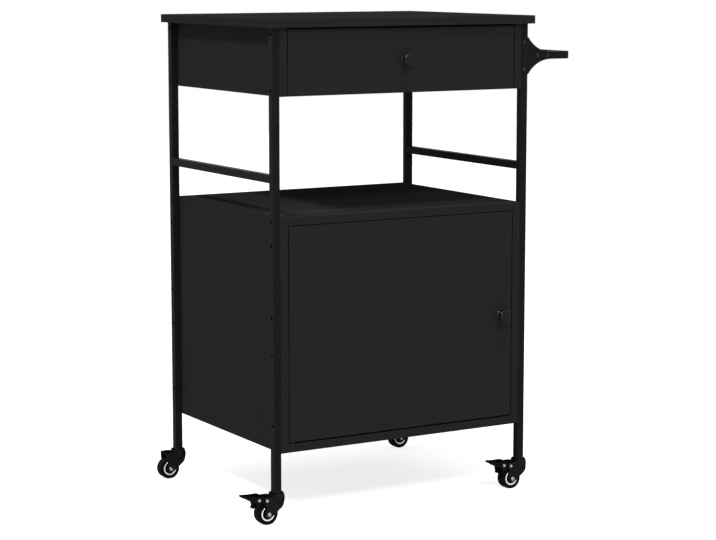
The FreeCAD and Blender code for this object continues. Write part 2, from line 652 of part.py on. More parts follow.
def runner_slider(side):
    """A steel slider under a drawer side: flange, ear and the pin of the rear roller."""
    face = DRAWER_OUT_L if side < 0 else DRAWER_OUT_R
    strip = runner_strip(face, side)
    reach = RUNNER_GAP - RUNNER_T - SLIDER_TO_SIDE
    y1 = REAR_ROLLER_Y + ROLLER_R
    flange = strip(-DRAWER_BOARD, reach, FRONT + BOARD, y1, FLANGE_Z, FLANGE_Z + RUNNER_T)
    ear = strip(0, RUNNER_T, REAR_ROLLER_Y - EAR_HALF, y1, RUNNER_LOW + EAR_UP, FLANGE_Z)
    pin = rod((face, REAR_ROLLER_Y, ROLLER_Z), (side, 0, 0), ROLLER_PIN_R, reach)
    return flange.fuse([ear, pin]).removeSplitter().Solids[0]


def rollers(y, inset):
    """The left and right nylon rollers on one cross line."""
    found = []
    for face, inward in ((BAY_LEFT, 1), (BAY_RIGHT, -1)):
        start = (face + inward * inset, y, ROLLER_Z)
        wheel = rod(start, (inward, 0, 0), ROLLER_R, ROLLER_W)
        found.append(wheel.cut(rod(start, (inward, 0, 0), ROLLER_PIN_R + PIN_PLAY, ROLLER_W)))
    return group(found)


# ---- handle -------------------------------------------------------------------------------------
def handle_bar():
    """A square tube bent square round three sides, which ends against the right posts."""
    low = HANDLE_H - POST / 2
    high = HANDLE_H + POST / 2

    def loop(inset):
        return block(RIGHT - PAST, RIGHT + HANDLE_REACH - inset, FRONT + inset, BACK - inset,
                     low + inset, high - inset)

    def core(inset):
        return block(RIGHT - 2 * PAST, RIGHT + HANDLE_REACH - POST + inset, FRONT + POST - inset,
                     BACK - POST + inset, low - PAST, high + PAST)

    outer = loop(0).cut(core(0))
    arm = HANDLE_REACH - POST
    long_edges = [e for e in outer.Edges if e.Length > arm - PAST and e.BoundBox.ZLength < PAST]
    outer = outer.makeFillet(TUBE_CORNER_R, long_edges)
    inner = loop(TUBE_WALL).cut(core(TUBE_WALL))
    ends = block(RIGHT - 2 * PAST, RIGHT, FRONT - PAST, BACK + PAST, low - PAST, high + PAST)
    tools = [inner, ends]
    for y, way in ((FRONT, 1), (BACK, -1)):
        for dx in ARM_SCREWS:
            start = (RIGHT + dx, y - way * PAST, HANDLE_H)
            tools.append(rod(start, (0, way, 0), SCREW_R, TUBE_WALL + 2 * PAST))
    return cut_all(outer, tools)


def bracket_screw_places():
    """The centre of each screw in a handle bracket, across and up."""
    places = [(IN_RIGHT + BRACKET_SCREW_IN, HANDLE_H - BRACKET_SCREW_DZ),
              (IN_RIGHT + BRACKET_SCREW_IN, HANDLE_H + BRACKET_SCREW_DZ)]
    return places + [(RIGHT + dx, HANDLE_H) for dx in ARM_SCREWS]


def handle_bracket(end):
    """A flared plate on a post that sweeps by two concave arcs down to the handle's arm."""
    half = POST / 2
    rise = BRACKET_HALF_H - half
    radius = (BRACKET_ARM_L ** 2 + rise ** 2) / (2 * rise)
    turn = math.asin(BRACKET_ARM_L / radius) / 2
    mid_x = BRACKET_ARM_L - radius * math.sin(turn)
    mid_z = half + radius * (1 - math.cos(turn))
    tip = (RIGHT + BRACKET_ARM_L, HANDLE_H - half)
    low = (RIGHT, HANDLE_H - BRACKET_HALF_H)
    points = [(IN_RIGHT, HANDLE_H - BRACKET_HALF_H), low,
              ((RIGHT + mid_x, HANDLE_H - mid_z), tip),
              (tip[0], HANDLE_H + half),
              ((RIGHT + mid_x, HANDLE_H + mid_z), (RIGHT, HANDLE_H + BRACKET_HALF_H)),
              (IN_RIGHT, HANDLE_H + BRACKET_HALF_H), (IN_RIGHT, HANDLE_H - BRACKET_HALF_H)]
    y = FRONT - BRACKET_T / 2 if end == "front" else BACK + BRACKET_T / 2
    plate = slab(points, BRACKET_T / 2).translated(V(0, y, 0))
    holes = [rod((x, y - BRACKET_T, z), (0, 1, 0), SCREW_R + FIT, 2 * BRACKET_T)
             for x, z in bracket_screw_places()]
    return cut_all(plate, holes)


def handle_screws():
    """Four screws in each handle bracket."""
    found = []
    for y, way in ((FRONT - BRACKET_T, 1), (BACK + BRACKET_T, -1)):
        for x, z in bracket_screw_places():
            found.append(screw((x, y, z), (0, way, 0), HANDLE_SCREW_L))
    return group(found)


# ---- casters: built about the swivel axis, with the wheel on the +X side ----------------------------
def caster_socket():
    """A plastic plug in the post's end, with a flange under it and a hole for the stem."""
    half = POST / 2
    inner = half - TUBE_WALL - FIT
    plug_top = CASTER_H + STEM_UP + SOCKET_ABOVE_STEM
    flange = block(-half, half, -half, half, CASTER_H, SOCKET_TOP)
    plug = block(-inner, inner, -inner, inner, SOCKET_TOP, plug_top)
    bore = rod((0, 0, CASTER_H - PAST), (0, 0, 1), STEM_R, STEM_UP + PAST)
    return cut_all(flange.fuse(plug), [bore])


def caster_stem():
    """The steel stem, pressed into the socket and riveted over under the swivel head."""
    seat = POCKET_TOP - HEAD_GAP / 2
    top = CASTER_H + STEM_UP
    foot_bevel = STEM_FOOT_R - STEM_R
    profile = [(0, seat - STEM_FOOT_H), (STEM_FOOT_R - foot_bevel / 2, seat - STEM_FOOT_H),
               (STEM_FOOT_R, seat - STEM_FOOT_H / 2), (STEM_FOOT_R, seat), (STEM_R, seat),
               (STEM_R, top - STEM_TIP), (STEM_R - STEM_TIP, top), (0, top)]
    return lathe(profile, (0, 0, 0), (0, 0, 1))


def around_axle(radius, degrees):
    """A point of the side view at a distance from the axle, by its angle above the level."""
    turn = math.radians(degrees)
    return (TRAIL + radius * math.cos(turn), WHEEL_R + radius * math.sin(turn))


def fork_side_outline():
    """One fork leg from the side: front curve, slant, axle boss, rear horn and its upper edge."""
    over = TRAIL - NOSE[0]
    up = NOSE[1] - WHEEL_R
    tangent = math.degrees(math.atan2(up, -over) + math.acos(BOSS_R / math.hypot(over, up)))
    return [CHIN, (CHIN_BULGE, NOSE), around_axle(BOSS_R, tangent),
            (around_axle(BOSS_R, -60), around_axle(BOSS_R, 7)), HORN_NOTCH,
            (HORN_SWEEP, (HORN_L, HORN_LOW)), (HORN_L, HORN_TOP), (SHOULDER_L, HORN_TOP), CHIN]


def swivel_head():
    """The round head that turns under the post, a dome on a short skirt."""
    low = POCKET_TOP - HEAD_SKIRT
    foot = V(HEAD_FOOT_R, 0, low)
    rim = V(HEAD_R, 0, low + HEAD_WIDEST)
    crown = V(HEAD_TOP_R, 0, CASTER_H - HEAD_GAP)
    skirt_bend = V(HEAD_R - (HEAD_R - HEAD_FOOT_R) * 0.25, 0, low + HEAD_WIDEST / 2)
    skirt = Part.Arc(foot, skirt_bend, rim).toShape()
    dome = Part.Arc(rim, V(HEAD_BEND[0], 0, low + HEAD_BEND[1]), crown).toShape()
    flat = Part.makePolygon([crown, V(0, 0, crown.z), V(0, 0, low), foot])
    profile = Part.Face(Part.Wire([skirt, dome] + flat.Edges))
    return profile.revolve(V(0, 0, 0), V(0, 0, 1), 360)


def fork():
    """The moulded fork: head, two legs over the wheel and a hollow horn at the rear."""
    rear = HORN_L + PAST
    plan = block(CHIN[0], rear, -LEG_OUT, LEG_OUT, 0, HORN_TOP + PAST)
    front_edges = [e for e in plan.Edges if e.BoundBox.XMax < CHIN[0] + FIT and e.BoundBox.ZLength > PAST]
    legs = slab(fork_side_outline(), LEG_OUT).common(plan.makeFillet(FORK_NOSE_R, front_edges))
    body = legs.fuse(swivel_head())
    room_r = STEM_FOOT_R + STEM_FOOT_ROOM
    room_h = STEM_FOOT_H + HEAD_SKIRT + PAST
    u, z = BRAKE_PIVOT
    tools = [
        rod((TRAIL, -LEG_IN, WHEEL_R), (0, 1, 0), POCKET_R, 2 * LEG_IN),
        block(TRAIL - POCKET_R, rear, -LEG_IN, LEG_IN, -PAST, WHEEL_R),
        block(TRAIL, rear, -LEG_IN, LEG_IN, -PAST, POCKET_TOP),
        block(HEAD_R + PAST, rear, -LEG_IN, LEG_IN, POCKET_TOP - PAST, HORN_TOP - LEG_T),
        rod((0, 0, POCKET_TOP - room_h), (0, 0, 1), room_r, room_h),
        rod((0, 0, POCKET_TOP - PAST), (0, 0, 1), STEM_R + PIN_PLAY, CASTER_H),
        rod((TRAIL, -LEG_OUT - PAST, WHEEL_R), (0, 1, 0), AXLE_R, 2 * (LEG_OUT + PAST)),
        rod((u, -LEG_OUT - PAST, z), (0, 1, 0), RIVET_R + PIN_PLAY, 2 * (LEG_OUT + PAST)),
    ]
    return cut_all(body, tools)


def wheel():
    """A solid wheel: crowned tread, round shoulders, sunk faces and a proud hub."""
    half = WHEEL_W / 2
    hub = LEG_IN - HUB_GAP
    bore = AXLE_R + PIN_PLAY
    seat_in = RING_IN_R - FIT
    seat_out = RING_OUT_R + FIT
    right = [(bore, hub), (HUB_R, hub), (HUB_R, half - DISC_SINK), (seat_in, half - DISC_SINK),
             (seat_in, half - RING_SEAT), (seat_out, half - RING_SEAT), (seat_out, half - FIT),
             (WHEEL_R - TYRE_EDGE, half), (WHEEL_R - TYRE_EDGE * 0.4, half - TYRE_EDGE * 0.25),
             (WHEEL_R - TYRE_EDGE * 0.1, half - TYRE_EDGE * 0.9), (WHEEL_R, half - TYRE_EDGE * 2)]
    profile = right + [(r, -v) for r, v in reversed(right)]
    return lathe(profile, (TRAIL, 0, WHEEL_R), (0, 1, 0))


def wheel_ring():
    """The bright half-round trim ring let into each face of a wheel."""
    seat = WHEEL_W / 2 - RING_SEAT
    middle = (RING_IN_R + RING_OUT_R) / 2
    half = (RING_OUT_R - RING_IN_R) / 2
    crown = [(middle + half * math.cos(t), seat + RING_T * (0.3 + 0.7 * math.sin(t)))
             for t in (math.radians(30 * k) for k in range(7))]
    profile = [(RING_IN_R, seat), (RING_OUT_R, seat)] + crown
    return group([lathe(profile, (TRAIL, 0, WHEEL_R), (0, way, 0)) for way in (1, -1)])


def axle():
    """The axle bolt with a domed head, and its nut."""
    head = [(0, -AXLE_HEAD_H), (AXLE_HEAD_R * 0.5, -AXLE_HEAD_H * 0.92),
            (AXLE_HEAD_R * 0.85, -AXLE_HEAD_H * 0.6), (AXLE_HEAD_R, -AXLE_HEAD_H * 0.2), (AXLE_HEAD_R, 0)]
    length = 2 * LEG_OUT + NUT_T + AXLE_PAST_NUT
    profile = head + [(AXLE_R, 0), (AXLE_R, length), (0, length)]
    bolt = lathe(profile, (TRAIL, LEG_OUT, WHEEL_R), (0, -1, 0))
    corner_r = NUT_AF / math.sqrt(3)
    turns = [math.radians(60 * k) for k in range(7)]
    flats = Part.makePolygon([V(corner_r * math.cos(t), 0, corner_r * math.sin(t)) for t in turns])
    nut = Part.Face(flats).extrude(V(0, -NUT_T, 0)).translated(V(TRAIL, -LEG_OUT, WHEEL_R))
    bore = rod((TRAIL, -LEG_OUT - NUT_T - PAST, WHEEL_R), (0, 1, 0), AXLE_R, NUT_T + 2 * PAST)
    return group([bolt, nut.cut(bore)])


def lever_side():
    """The brake lever from the side: tongue, tread, tip, belly and brake shoe."""
    u, z = BRAKE_PIVOT
    shoe = WHEEL_R + BRAKE_GAP
    step = HORN_L + HORN_CLEAR
    lip = (PEDAL_REACH - PEDAL_LIP[0], PEDAL_TIP_H)
    tip = (PEDAL_REACH, PEDAL_TIP_H - PEDAL_LIP[1] * 3)
    nose = (PEDAL_REACH - PEDAL_NOSE[0], PEDAL_TIP_H - PEDAL_NOSE[1])
    tongue_low = (u + TONGUE_R * math.sin(0.5), z - TONGUE_R * math.cos(0.5))
    shoe_mid = around_axle(shoe, (SHOE_LOW + SHOE_HIGH) / 2)
    return [(u, z + TONGUE_R), (step, HORN_TOP - 2 * LEG_T), (step, PEDAL_STEP_H),
            PEDAL_CROWN, (PEDAL_TREAD, lip), ((PEDAL_REACH - PEDAL_LIP[1], PEDAL_TIP_H - PEDAL_LIP[1]), tip),
            nose, (PEDAL_BELLY, PEDAL_KNEE), (PEDAL_BEND, PEDAL_ROOT), PEDAL_HEEL,
            SHOE_BACK, SHOE_HEEL, around_axle(shoe, SHOE_LOW), (shoe_mid, around_axle(shoe, SHOE_HIGH)),
            tongue_low, ((u - TONGUE_R, z), (u, z + TONGUE_R))]


def claw():
    """The narrow web under the pedal, which ends in a claw for lifting the brake off."""
    inner = BRAKE_RIVET[0] + RIVET_R + PAST
    points = [(inner, PEDAL_TREAD[1] - PEDAL_WALL), (PEDAL_HEEL[0], PEDAL_TREAD[1] - PEDAL_WALL),
              PEDAL_HEEL, CLAW_TOP, CLAW_NOTCH, CLAW_TIP, CLAW_END, CLAW_LOW, (inner, CLAW_LOW[1] + PAST),
              (inner, PEDAL_TREAD[1] - PEDAL_WALL)]
    return slab(points, CLAW_HALF)


def lever_plan(inset):
    """The brake lever from above, as a tall prism: narrow tongue, wide pedal, tapered tip."""
    start = BRAKE_PIVOT[0] - TONGUE_R - PAST
    tongue = LEG_IN - TONGUE_GAP
    step = HORN_L + HORN_CLEAR
    plan = [(start, -tongue), (step, -tongue), (step, -LEG_OUT), (PEDAL_TAPER_L, -LEG_OUT),
            (PEDAL_TAPER[0], -PEDAL_TAPER[1]), (PEDAL_REACH, -PEDAL_TIP_HALF)]
    plan = [(a, b + inset) for a, b in plan]
    plan = plan + [(a, -b) for a, b in reversed(plan)]
    wire = Part.makePolygon([V(a, b, 0) for a, b in plan + plan[:1]])
    return Part.Face(wire).extrude(V(0, 0, PEDAL_TIP_H + 2 * PAST))


def pedal_hollow():
    """The room under the pedal's tread, inside its walls."""
    front = SHOE_BACK[0] + PEDAL_WALL
    roof = PEDAL_TREAD[1] - PEDAL_WALL
    room = block(front, PEDAL_ROOT[0], -LEG_OUT, LEG_OUT, SHOE_BACK[1] - PAST, roof)
    return room.common(lever_plan(PEDAL_WALL))


def brake_lever():
    """The rocking brake lever: narrow tongue in the horn, shoe over the tyre, hollow pedal and claw."""
    body = slab(lever_side(), LEG_OUT).common(lever_plan(0)).cut(pedal_hollow()).fuse(claw())
    holes = [rod((a, -LEG_OUT - PAST, b), (0, 1, 0), RIVET_R, 2 * (LEG_OUT + PAST))
             for a, b in (BRAKE_PIVOT, BRAKE_RIVET)]
    return cut_all(body, holes)


def brake_rivets():
    """The lever's pivot rivet, which turns in the fork, and the rivet behind it."""
    found = []
    for (u, z), gap in ((BRAKE_PIVOT, RIVET_GAP), (BRAKE_RIVET, 0.0)):
        seat = LEG_OUT + gap
        half = [(RIVET_R, seat), (RIVET_HEAD_R, seat), (RIVET_HEAD_R, seat + RIVET_HEAD_H * 0.3),
                (RIVET_HEAD_R * 0.7, seat + RIVET_HEAD_H * 0.85), (0, seat + RIVET_HEAD_H)]
        profile = half + [(r, -v) for r, v in reversed(half)]
        found.append(lathe(profile, (u, 0, z), (0, 1, 0)))
    return group(found)


def at_corner(shape, corner):
    """Put a caster piece under a post, with the wheel on the left of the swivel axis."""
    x, y = CORNERS[corner]
    placed = shape.copy()
    placed.rotate(V(0, 0, 0), V(0, 0, 1), 180)
    return placed.translated(V(x, y, 0))


# ---- nodes --------------------------------------------------------------------------------------------
def frame_nodes():
    """The still frame and boards."""
    nodes = {"post_" + corner: post(corner) for corner in CORNERS}
    for name, side in (("left", -1), ("right", 1)):
        nodes["side_rail_" + name] = rail(side)
        nodes["housing_side_" + name] = housing_side(side)
        nodes["cabinet_side_" + name] = cabinet_side(side)
    nodes["tabletop"] = tabletop()
    nodes["housing_back"] = housing_back()
    nodes["shelf_panel"] = shelf_panel()
    nodes["cabinet_bottom"] = cabinet_bottom()
    nodes["cabinet_back"] = cabinet_back()
    nodes["post_screws"] = post_screws()
    nodes["cam_locks"] = cam_locks()
    nodes["handle_bar"] = handle_bar()
    nodes["handle_bracket_front"] = handle_bracket("front")
    nodes["handle_bracket_back"] = handle_bracket("back")
    nodes["handle_screws"] = handle_screws()
    nodes["runner_rails"] = group([runner_rail(-1), runner_rail(1)])
    nodes["door_pivot_pins"] = door_pivot_pins()
    nodes["door_catch"] = door_catch()
    return nodes


def door_nodes():
    """What turns with the door."""
    return {
        "door_panel": door_panel(),
        "door_knob": knob(*KNOB_DOOR),
        "door_strike_plate": strike_box(0).cut(strike_screw()),
        "door_screws": group([knob_screw(*KNOB_DOOR), strike_screw()]),
    }


def drawer_nodes():
    """What slides with the drawer, and the runners' rollers."""
    rear_inset = RUNNER_T + REAR_ROLLER_OFF
    front_inset = RUNNER_T + FRONT_ROLLER_OFF
    return {
        "drawer_front": drawer_front(),
        "drawer_side_left": drawer_side(-1),
        "drawer_side_right": drawer_side(1),
        "drawer_back": drawer_back(),
        "drawer_bottom": drawer_floor(0),
        "drawer_knob": knob(*KNOB_DRAWER),
        "drawer_screws": group([knob_screw(*KNOB_DRAWER)] + drawer_back_screws(-1) + drawer_back_screws(1)),
        "runner_sliders": group([runner_slider(-1), runner_slider(1)]),
        "front_rollers": rollers(FRONT_ROLLER_Y, front_inset),
        "rear_rollers": rollers(REAR_ROLLER_Y, rear_inset),
    }


def caster_nodes():
    """Four casters, the front two with brakes."""
    nodes = {
        "caster_sockets": group([at_corner(caster_socket(), corner) for corner in CORNERS]),
        "caster_stems": group([at_corner(caster_stem(), corner) for corner in CORNERS]),
    }
    moving = {"caster_fork": fork(), "caster_axle": axle()}
    moving.update({"caster_wheel": wheel(), "wheel_rings": wheel_ring()})
    braked = {"brake_lever": brake_lever(), "brake_rivets": brake_rivets()}
    for corner in CORNERS:
        pieces = dict(moving, **braked) if corner.startswith("front") else moving
        for name, shape in pieces.items():
            nodes[name + "_" + corner] = at_corner(shape, corner)
    return nodes


def main():
    os.makedirs("parts", exist_ok=True)
    nodes = {}
    for made in (frame_nodes(), door_nodes(), drawer_nodes(), caster_nodes()):
        nodes.update(made)
    for name, shape in nodes.items():
        if not shape.isValid():
            raise RuntimeError(name + " isn't a valid shape")
        shape.exportStep("parts/" + name + ".step")
        print(name, len(shape.Solids), "solids", round(shape.Volume), "mm3")
    print(len(nodes), "nodes")


main()
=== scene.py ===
"""Rolling microwave stand with a drawer: finishes, fittings and casters over the packed model.

The boards, tubes and brackets of the packed model keep their shapes and get worked-out
finishes. Knobs, screws, cams, wheels, rings, axles and rivets are surfaces computed with
numpy. Forks, brake levers and folded steel are softened copies of their solids.
"""

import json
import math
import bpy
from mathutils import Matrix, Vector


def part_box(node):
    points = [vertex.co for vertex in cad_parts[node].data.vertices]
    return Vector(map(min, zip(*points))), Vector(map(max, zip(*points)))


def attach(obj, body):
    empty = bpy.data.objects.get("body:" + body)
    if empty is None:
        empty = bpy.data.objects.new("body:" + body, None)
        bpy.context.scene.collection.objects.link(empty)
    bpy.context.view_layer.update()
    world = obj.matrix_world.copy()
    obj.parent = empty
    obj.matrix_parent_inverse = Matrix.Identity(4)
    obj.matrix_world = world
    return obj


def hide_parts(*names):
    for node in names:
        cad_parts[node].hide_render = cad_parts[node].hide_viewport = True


bl_info = {
    "name": "Microwave stand with drawer",
    "version": (1, 0, 0),
    "blender": (4, 5, 0),
    "location": "3D View > Sidebar > Stand",
    "description": "Dresses a rolling kitchen stand with its boards, steel tubes, fittings and casters",
    "category": "Object",
}

import bmesh
import bpy
import numpy as np
from bpy.props import FloatProperty, FloatVectorProperty, IntProperty, PointerProperty
from mathutils import Vector

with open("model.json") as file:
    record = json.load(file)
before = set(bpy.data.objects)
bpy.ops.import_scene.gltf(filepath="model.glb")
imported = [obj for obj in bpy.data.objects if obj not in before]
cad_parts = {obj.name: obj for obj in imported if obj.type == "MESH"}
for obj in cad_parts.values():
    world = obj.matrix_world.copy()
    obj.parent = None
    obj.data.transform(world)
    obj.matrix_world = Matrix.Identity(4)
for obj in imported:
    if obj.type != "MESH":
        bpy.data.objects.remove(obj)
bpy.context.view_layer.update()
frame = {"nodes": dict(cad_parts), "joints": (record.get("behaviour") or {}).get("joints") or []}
NODES = frame["nodes"]
CORNERS = ("front_left", "front_right", "back_left", "back_right")
BRAKED = ("front_left", "front_right")
AXES = np.eye(3)
MM = 0.001
WELD = 2e-6     # points closer than this, in metres, are one
SLIVER = 1e-7   # and edges shorter than this are taken out


# ---- sizes read from the frame ----
class Box:
    """The box round a solid, in metres: its corners, middle and span, and how its points lean."""

    def __init__(self, low, high, mean=None):
        self.low = np.array(low)
        self.high = np.array(high)
        self.middle = (self.low + self.high) / 2
        self.span = self.high - self.low
        self.lean = None if mean is None else mean - self.middle

    def face(self, axis, side, inset=0.0):
        """The middle of the face on the high (1) or low (-1) side of an axis, moved inwards."""
        place = self.middle.copy()
        place[axis] = (self.high if side > 0 else self.low)[axis] - side * inset
        return place


def node_box(name):
    """A node's box at rest."""
    return Box(*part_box(name))


def joint_place(name):
    """The point that a joint turns about, in metres."""
    found = [j for j in frame["joints"] if j["name"] == name]
    if not found:
        raise RuntimeError("the model has no joint named " + name)
    return np.array(found[0]["pos_m"])


def caster_y(place):
    """The Y of the swivel axis nearest to a place."""
    swivels = np.array([joint_place("swivel_" + corner) for corner in CORNERS])
    away = np.abs(swivels - place)
    return float(swivels[np.argmin(away[:, 0] + away[:, 1]), 1])


def loose_boxes(name):
    """The boxes of a node's separate solids. They lean towards where most of their points are."""
    mesh = bmesh.new()
    mesh.from_mesh(NODES[name].data)
    bmesh.ops.remove_doubles(mesh, verts=mesh.verts, dist=WELD)
    mesh.verts.ensure_lookup_table()
    seen = set()
    boxes = []
    for start in mesh.verts:
        if start.index in seen:
            continue
        stack = [start]
        seen.add(start.index)
        places = []
        while stack:
            vertex = stack.pop()
            places.append(vertex.co[:])
            for edge in vertex.link_edges:
                other = edge.other_vert(vertex)
                if other.index not in seen:
                    seen.add(other.index)
                    stack.append(other)
        places = np.array(places)
        boxes.append(Box(places.min(0), places.max(0), places.mean(0)))
    mesh.free()
    return boxes


# ---- settings ----
def size(name, text, default, digits=4):
    """A length in metres that a user may change."""
    return FloatProperty(name=name, description=text, default=default, min=0.0, precision=digits,
                         unit="LENGTH")


def share(name, text, default, high=1.0):
    """A plain factor."""
    return FloatProperty(name=name, description=text, default=default, min=0.0, max=high)


def bearing(name, text, degrees):
    """An angle, given in degrees."""
    return FloatProperty(name=name, description=text, default=math.radians(degrees), subtype="ANGLE")


def paint(name, text, default):
    """A colour."""
    return FloatVectorProperty(name=name, description=text, default=default, min=0.0, max=1.0,
                               subtype="COLOR", size=3)


class BoardSettings(bpy.types.PropertyGroup):
    """Faced boards and hardboard."""
    face: paint("Facing", "Colour of the melamine facing", (0.0182, 0.0182, 0.0182))
    # Painted light: the shelf is the same board as the rest; its lighter facing colour stands in for the
    # light falling on it.
    shelf: paint("Shelf facing", "Colour of the shelf's facing", (0.0245, 0.0245, 0.0245))
    band: paint("Edge band", "Colour of the edge bands", (0.0170, 0.0170, 0.0170))
    hardboard: paint("Hardboard", "Painted face of the hardboard", (0.0150, 0.0148, 0.0146))
    roughness: share("Roughness", "Roughness of the facing", 0.55)
    pore: size("Pore", "Size of the facing's fine texture", 0.0009)
    relief: size("Relief", "Depth of the facing's fine texture", 0.00003, 6)


class SteelSettings(bpy.types.PropertyGroup):
    """Painted, plated and bare steel."""
    coat: paint("Powder coat", "Colour of the powder coat on the tubes", (0.0105, 0.0105, 0.0105))
    coat_roughness: share("Coat roughness", "Roughness of the powder coat", 0.36)
    peel: size("Orange peel", "Spacing of the powder coat's ripples", 0.0011)
    plate: paint("Zinc", "Colour of the zinc plating", (0.62, 0.63, 0.66))
    soften: size("Edge", "Rounding of cut steel edges", 0.0004)


class KnobSettings(bpy.types.PropertyGroup):
    """The two turned knobs."""
    colour: paint("Knob", "Colour of the knobs", (0.0140, 0.0140, 0.0140))
    rim: size("Rim", "Rounding of the knob's rim", 0.0030)
    steps: IntProperty(name="Steps", description="Faces round a knob", default=96, min=24, max=256)


class CasterSettings(bpy.types.PropertyGroup):
    """Casters: forks, wheels, rings and brakes."""
    plastic: paint("Moulding", "Colour of the forks and brake levers", (0.0130, 0.0130, 0.0130))
    tyre: paint("Tyre", "Colour of the tread", (0.0035, 0.0035, 0.0035))
    ring: paint("Ring", "Colour of the bright rings", (0.86, 0.86, 0.87))
    soften: size("Edge", "Rounding of the mouldings' edges", 0.0011)
    steps: IntProperty(name="Steps", description="Faces round a wheel", default=128, min=32, max=256)


class StageSettings(bpy.types.PropertyGroup):
    """Floor, light and camera."""
    floor: paint("Floor", "Colour of the floor", (0.80, 0.80, 0.80))
    lens: FloatProperty(name="Lens", description="Focal length in millimetres", default=107.1, min=20.0,
                        max=300.0)
    heading: bearing("Heading", "Camera turned to the right of straight ahead", 30.587)
    tilt: bearing("Tilt", "Camera turned down from level", 8.187)
    offset: FloatVectorProperty(name="Camera", description="Camera from the foot of the front left post",
                                default=(-1.8324, -3.4050, 1.0339), subtype="XYZ", unit="LENGTH", size=3)
    sky: share("Sky", "Strength of the soft light from all round", 0.48, 4.0)
    key: share("Key", "Power of the main light from the upper left, in watts", 320.0, 5000.0)


# ---- meshes from arrays ----
def grid_quads(rows, columns, wrap=False):
    """The four corner numbers of every cell of a rows x columns grid of points.

    If it wraps, each row's last point joins on to its first.
    """
    cells = columns if wrap else columns - 1
    r, c = np.meshgrid(np.arange(rows - 1), np.arange(cells), indexing="ij")
    here = r * columns
    there = here + columns
    on = (c + 1) % columns
    return np.stack([here + c, here + on, there + on, there + c], -1).reshape(-1, 4)


def join(surfaces):
    """Several (points, quads) surfaces as one."""
    points, quads, start = [], [], 0
    for p, q in surfaces:
        points.append(p)
        quads.append(q + start)
        start += len(p)
    return np.concatenate(points), np.concatenate(quads)


def new_piece(name, surface, material, body, stands_for=(), sharp=40.0, crown=None):
    """A closed mesh object from (points, quads), with its material, body and stood-for nodes.

    crown(points), if given, is stored on the points: 1 on top of a head, 0 at its rim.
    """
    points, quads = surface
    mesh = bpy.data.meshes.new(name)
    mesh.from_pydata(points.tolist(), [], quads.tolist())
    work = bmesh.new()
    work.from_mesh(mesh)
    bmesh.ops.remove_doubles(work, verts=work.verts, dist=WELD)
    bmesh.ops.dissolve_degenerate(work, edges=work.edges, dist=SLIVER)
    bmesh.ops.recalc_face_normals(work, faces=work.faces)
    work.to_mesh(mesh)
    work.free()
    if crown is not None:
        places = np.zeros(len(mesh.vertices) * 3, np.float32)
        mesh.vertices.foreach_get("co", places)
        values = mesh.attributes.new("crown", "FLOAT", "POINT")
        values.data.foreach_set("value", crown(places.reshape(-1, 3)).astype(np.float32))
    return settle(name, mesh, material, body, stands_for, sharp)


def crown_of(axes, radius):
    """For heads on Y axes through places: 1 on an axis, falling to 0 at a radius."""
    spots = np.array(axes)[:, (0, 2)]

    def crown(places):
        away = np.linalg.norm(places[:, None, (0, 2)] - spots[None], axis=2).min(1)
        return np.clip(1.0 - away / radius, 0.0, 1.0)
    return crown


def settle(name, mesh, material, body, stands_for, sharp):
    """Link a mesh as a piece: shaded smooth but for edges sharper than an angle in degrees."""
    mesh.shade_smooth()
    mesh.set_sharp_from_angle(angle=math.radians(sharp))
    mesh.materials.clear()
    mesh.materials.append(material)
    piece = bpy.data.objects.new(name, mesh)
    bpy.context.scene.collection.objects.link(piece)
    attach(piece, body)
    if stands_for:
        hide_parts(*stands_for)
    return piece


def softened(name, node, material, body, width, segments=3):
    """A copy of a node's solid with its flat faces joined and its edges rounded by a bevel.

    The loose triangles are merged, coplanar faces dissolved, and every edge that turns by more
    than some degrees gets a round of the given width.
    """
    flat = 0.6
    edge = 28.0
    work = bmesh.new()
    work.from_mesh(NODES[node].data)
    bmesh.ops.remove_doubles(work, verts=work.verts, dist=WELD)
    bmesh.ops.dissolve_limit(work, angle_limit=math.radians(flat), verts=work.verts, edges=work.edges,
                             use_dissolve_boundaries=False)
    mesh = bpy.data.meshes.new(name)
    work.to_mesh(mesh)
    work.free()
    piece = settle(name, mesh, material, body, (node,), 180.0)
    bevel = piece.modifiers.new("Rounded edges", "BEVEL")
    bevel.width = width
    bevel.segments = segments
    bevel.limit_method = "ANGLE"
    bevel.angle_limit = math.radians(edge)
    bevel.miter_outer = "MITER_ARC"
    even = piece.modifiers.new("Even shading", "WEIGHTED_NORMAL")
    even.keep_sharp = True
    return piece


# ---- curves and surfaces ----
def rounded_path(points, radii, steps=6):
    """A polyline whose corners are arcs: each corner's two tangent points and the arc between.

    A corner P with unit directions a (back) and b (on) and radius r starts t = r / tan(half its
    opening) back along a; its arc is swept about P + (a + b) scaled to r / sin(half opening).
    An arc reaches at most half way along a side, and a nearly straight corner stays as it is.
    """
    straight = math.radians(89)
    reach = 0.499
    points = np.asarray(points, float)
    out = [points[0]]
    for p, before, after, radius in zip(points[1:-1], points[:-2], points[2:], radii[1:-1]):
        a = before - p
        b = after - p
        a = a / np.linalg.norm(a)
        b = b / np.linalg.norm(b)
        half = math.acos(max(-1.0, min(1.0, float(a @ b)))) / 2
        if radius <= 0 or half > straight:
            out.append(p)
            continue
        room = min(np.linalg.norm(before - p), np.linalg.norm(after - p)) * reach
        t = min(radius / math.tan(half), room)
        r = t * math.tan(half)
        centre = p + (a + b) / np.linalg.norm(a + b) * (r / math.sin(half))
        start = p + a * t - centre
        end = p + b * t - centre
        sweep = math.pi - 2 * half
        part = np.linspace(0, 1, steps + 1)[:, None]
        arc = (np.sin((1 - part) * sweep) * start + np.sin(part * sweep) * end) / math.sin(sweep)
        out.extend(centre + arc)
    out.append(points[-1])
    return np.array(out)


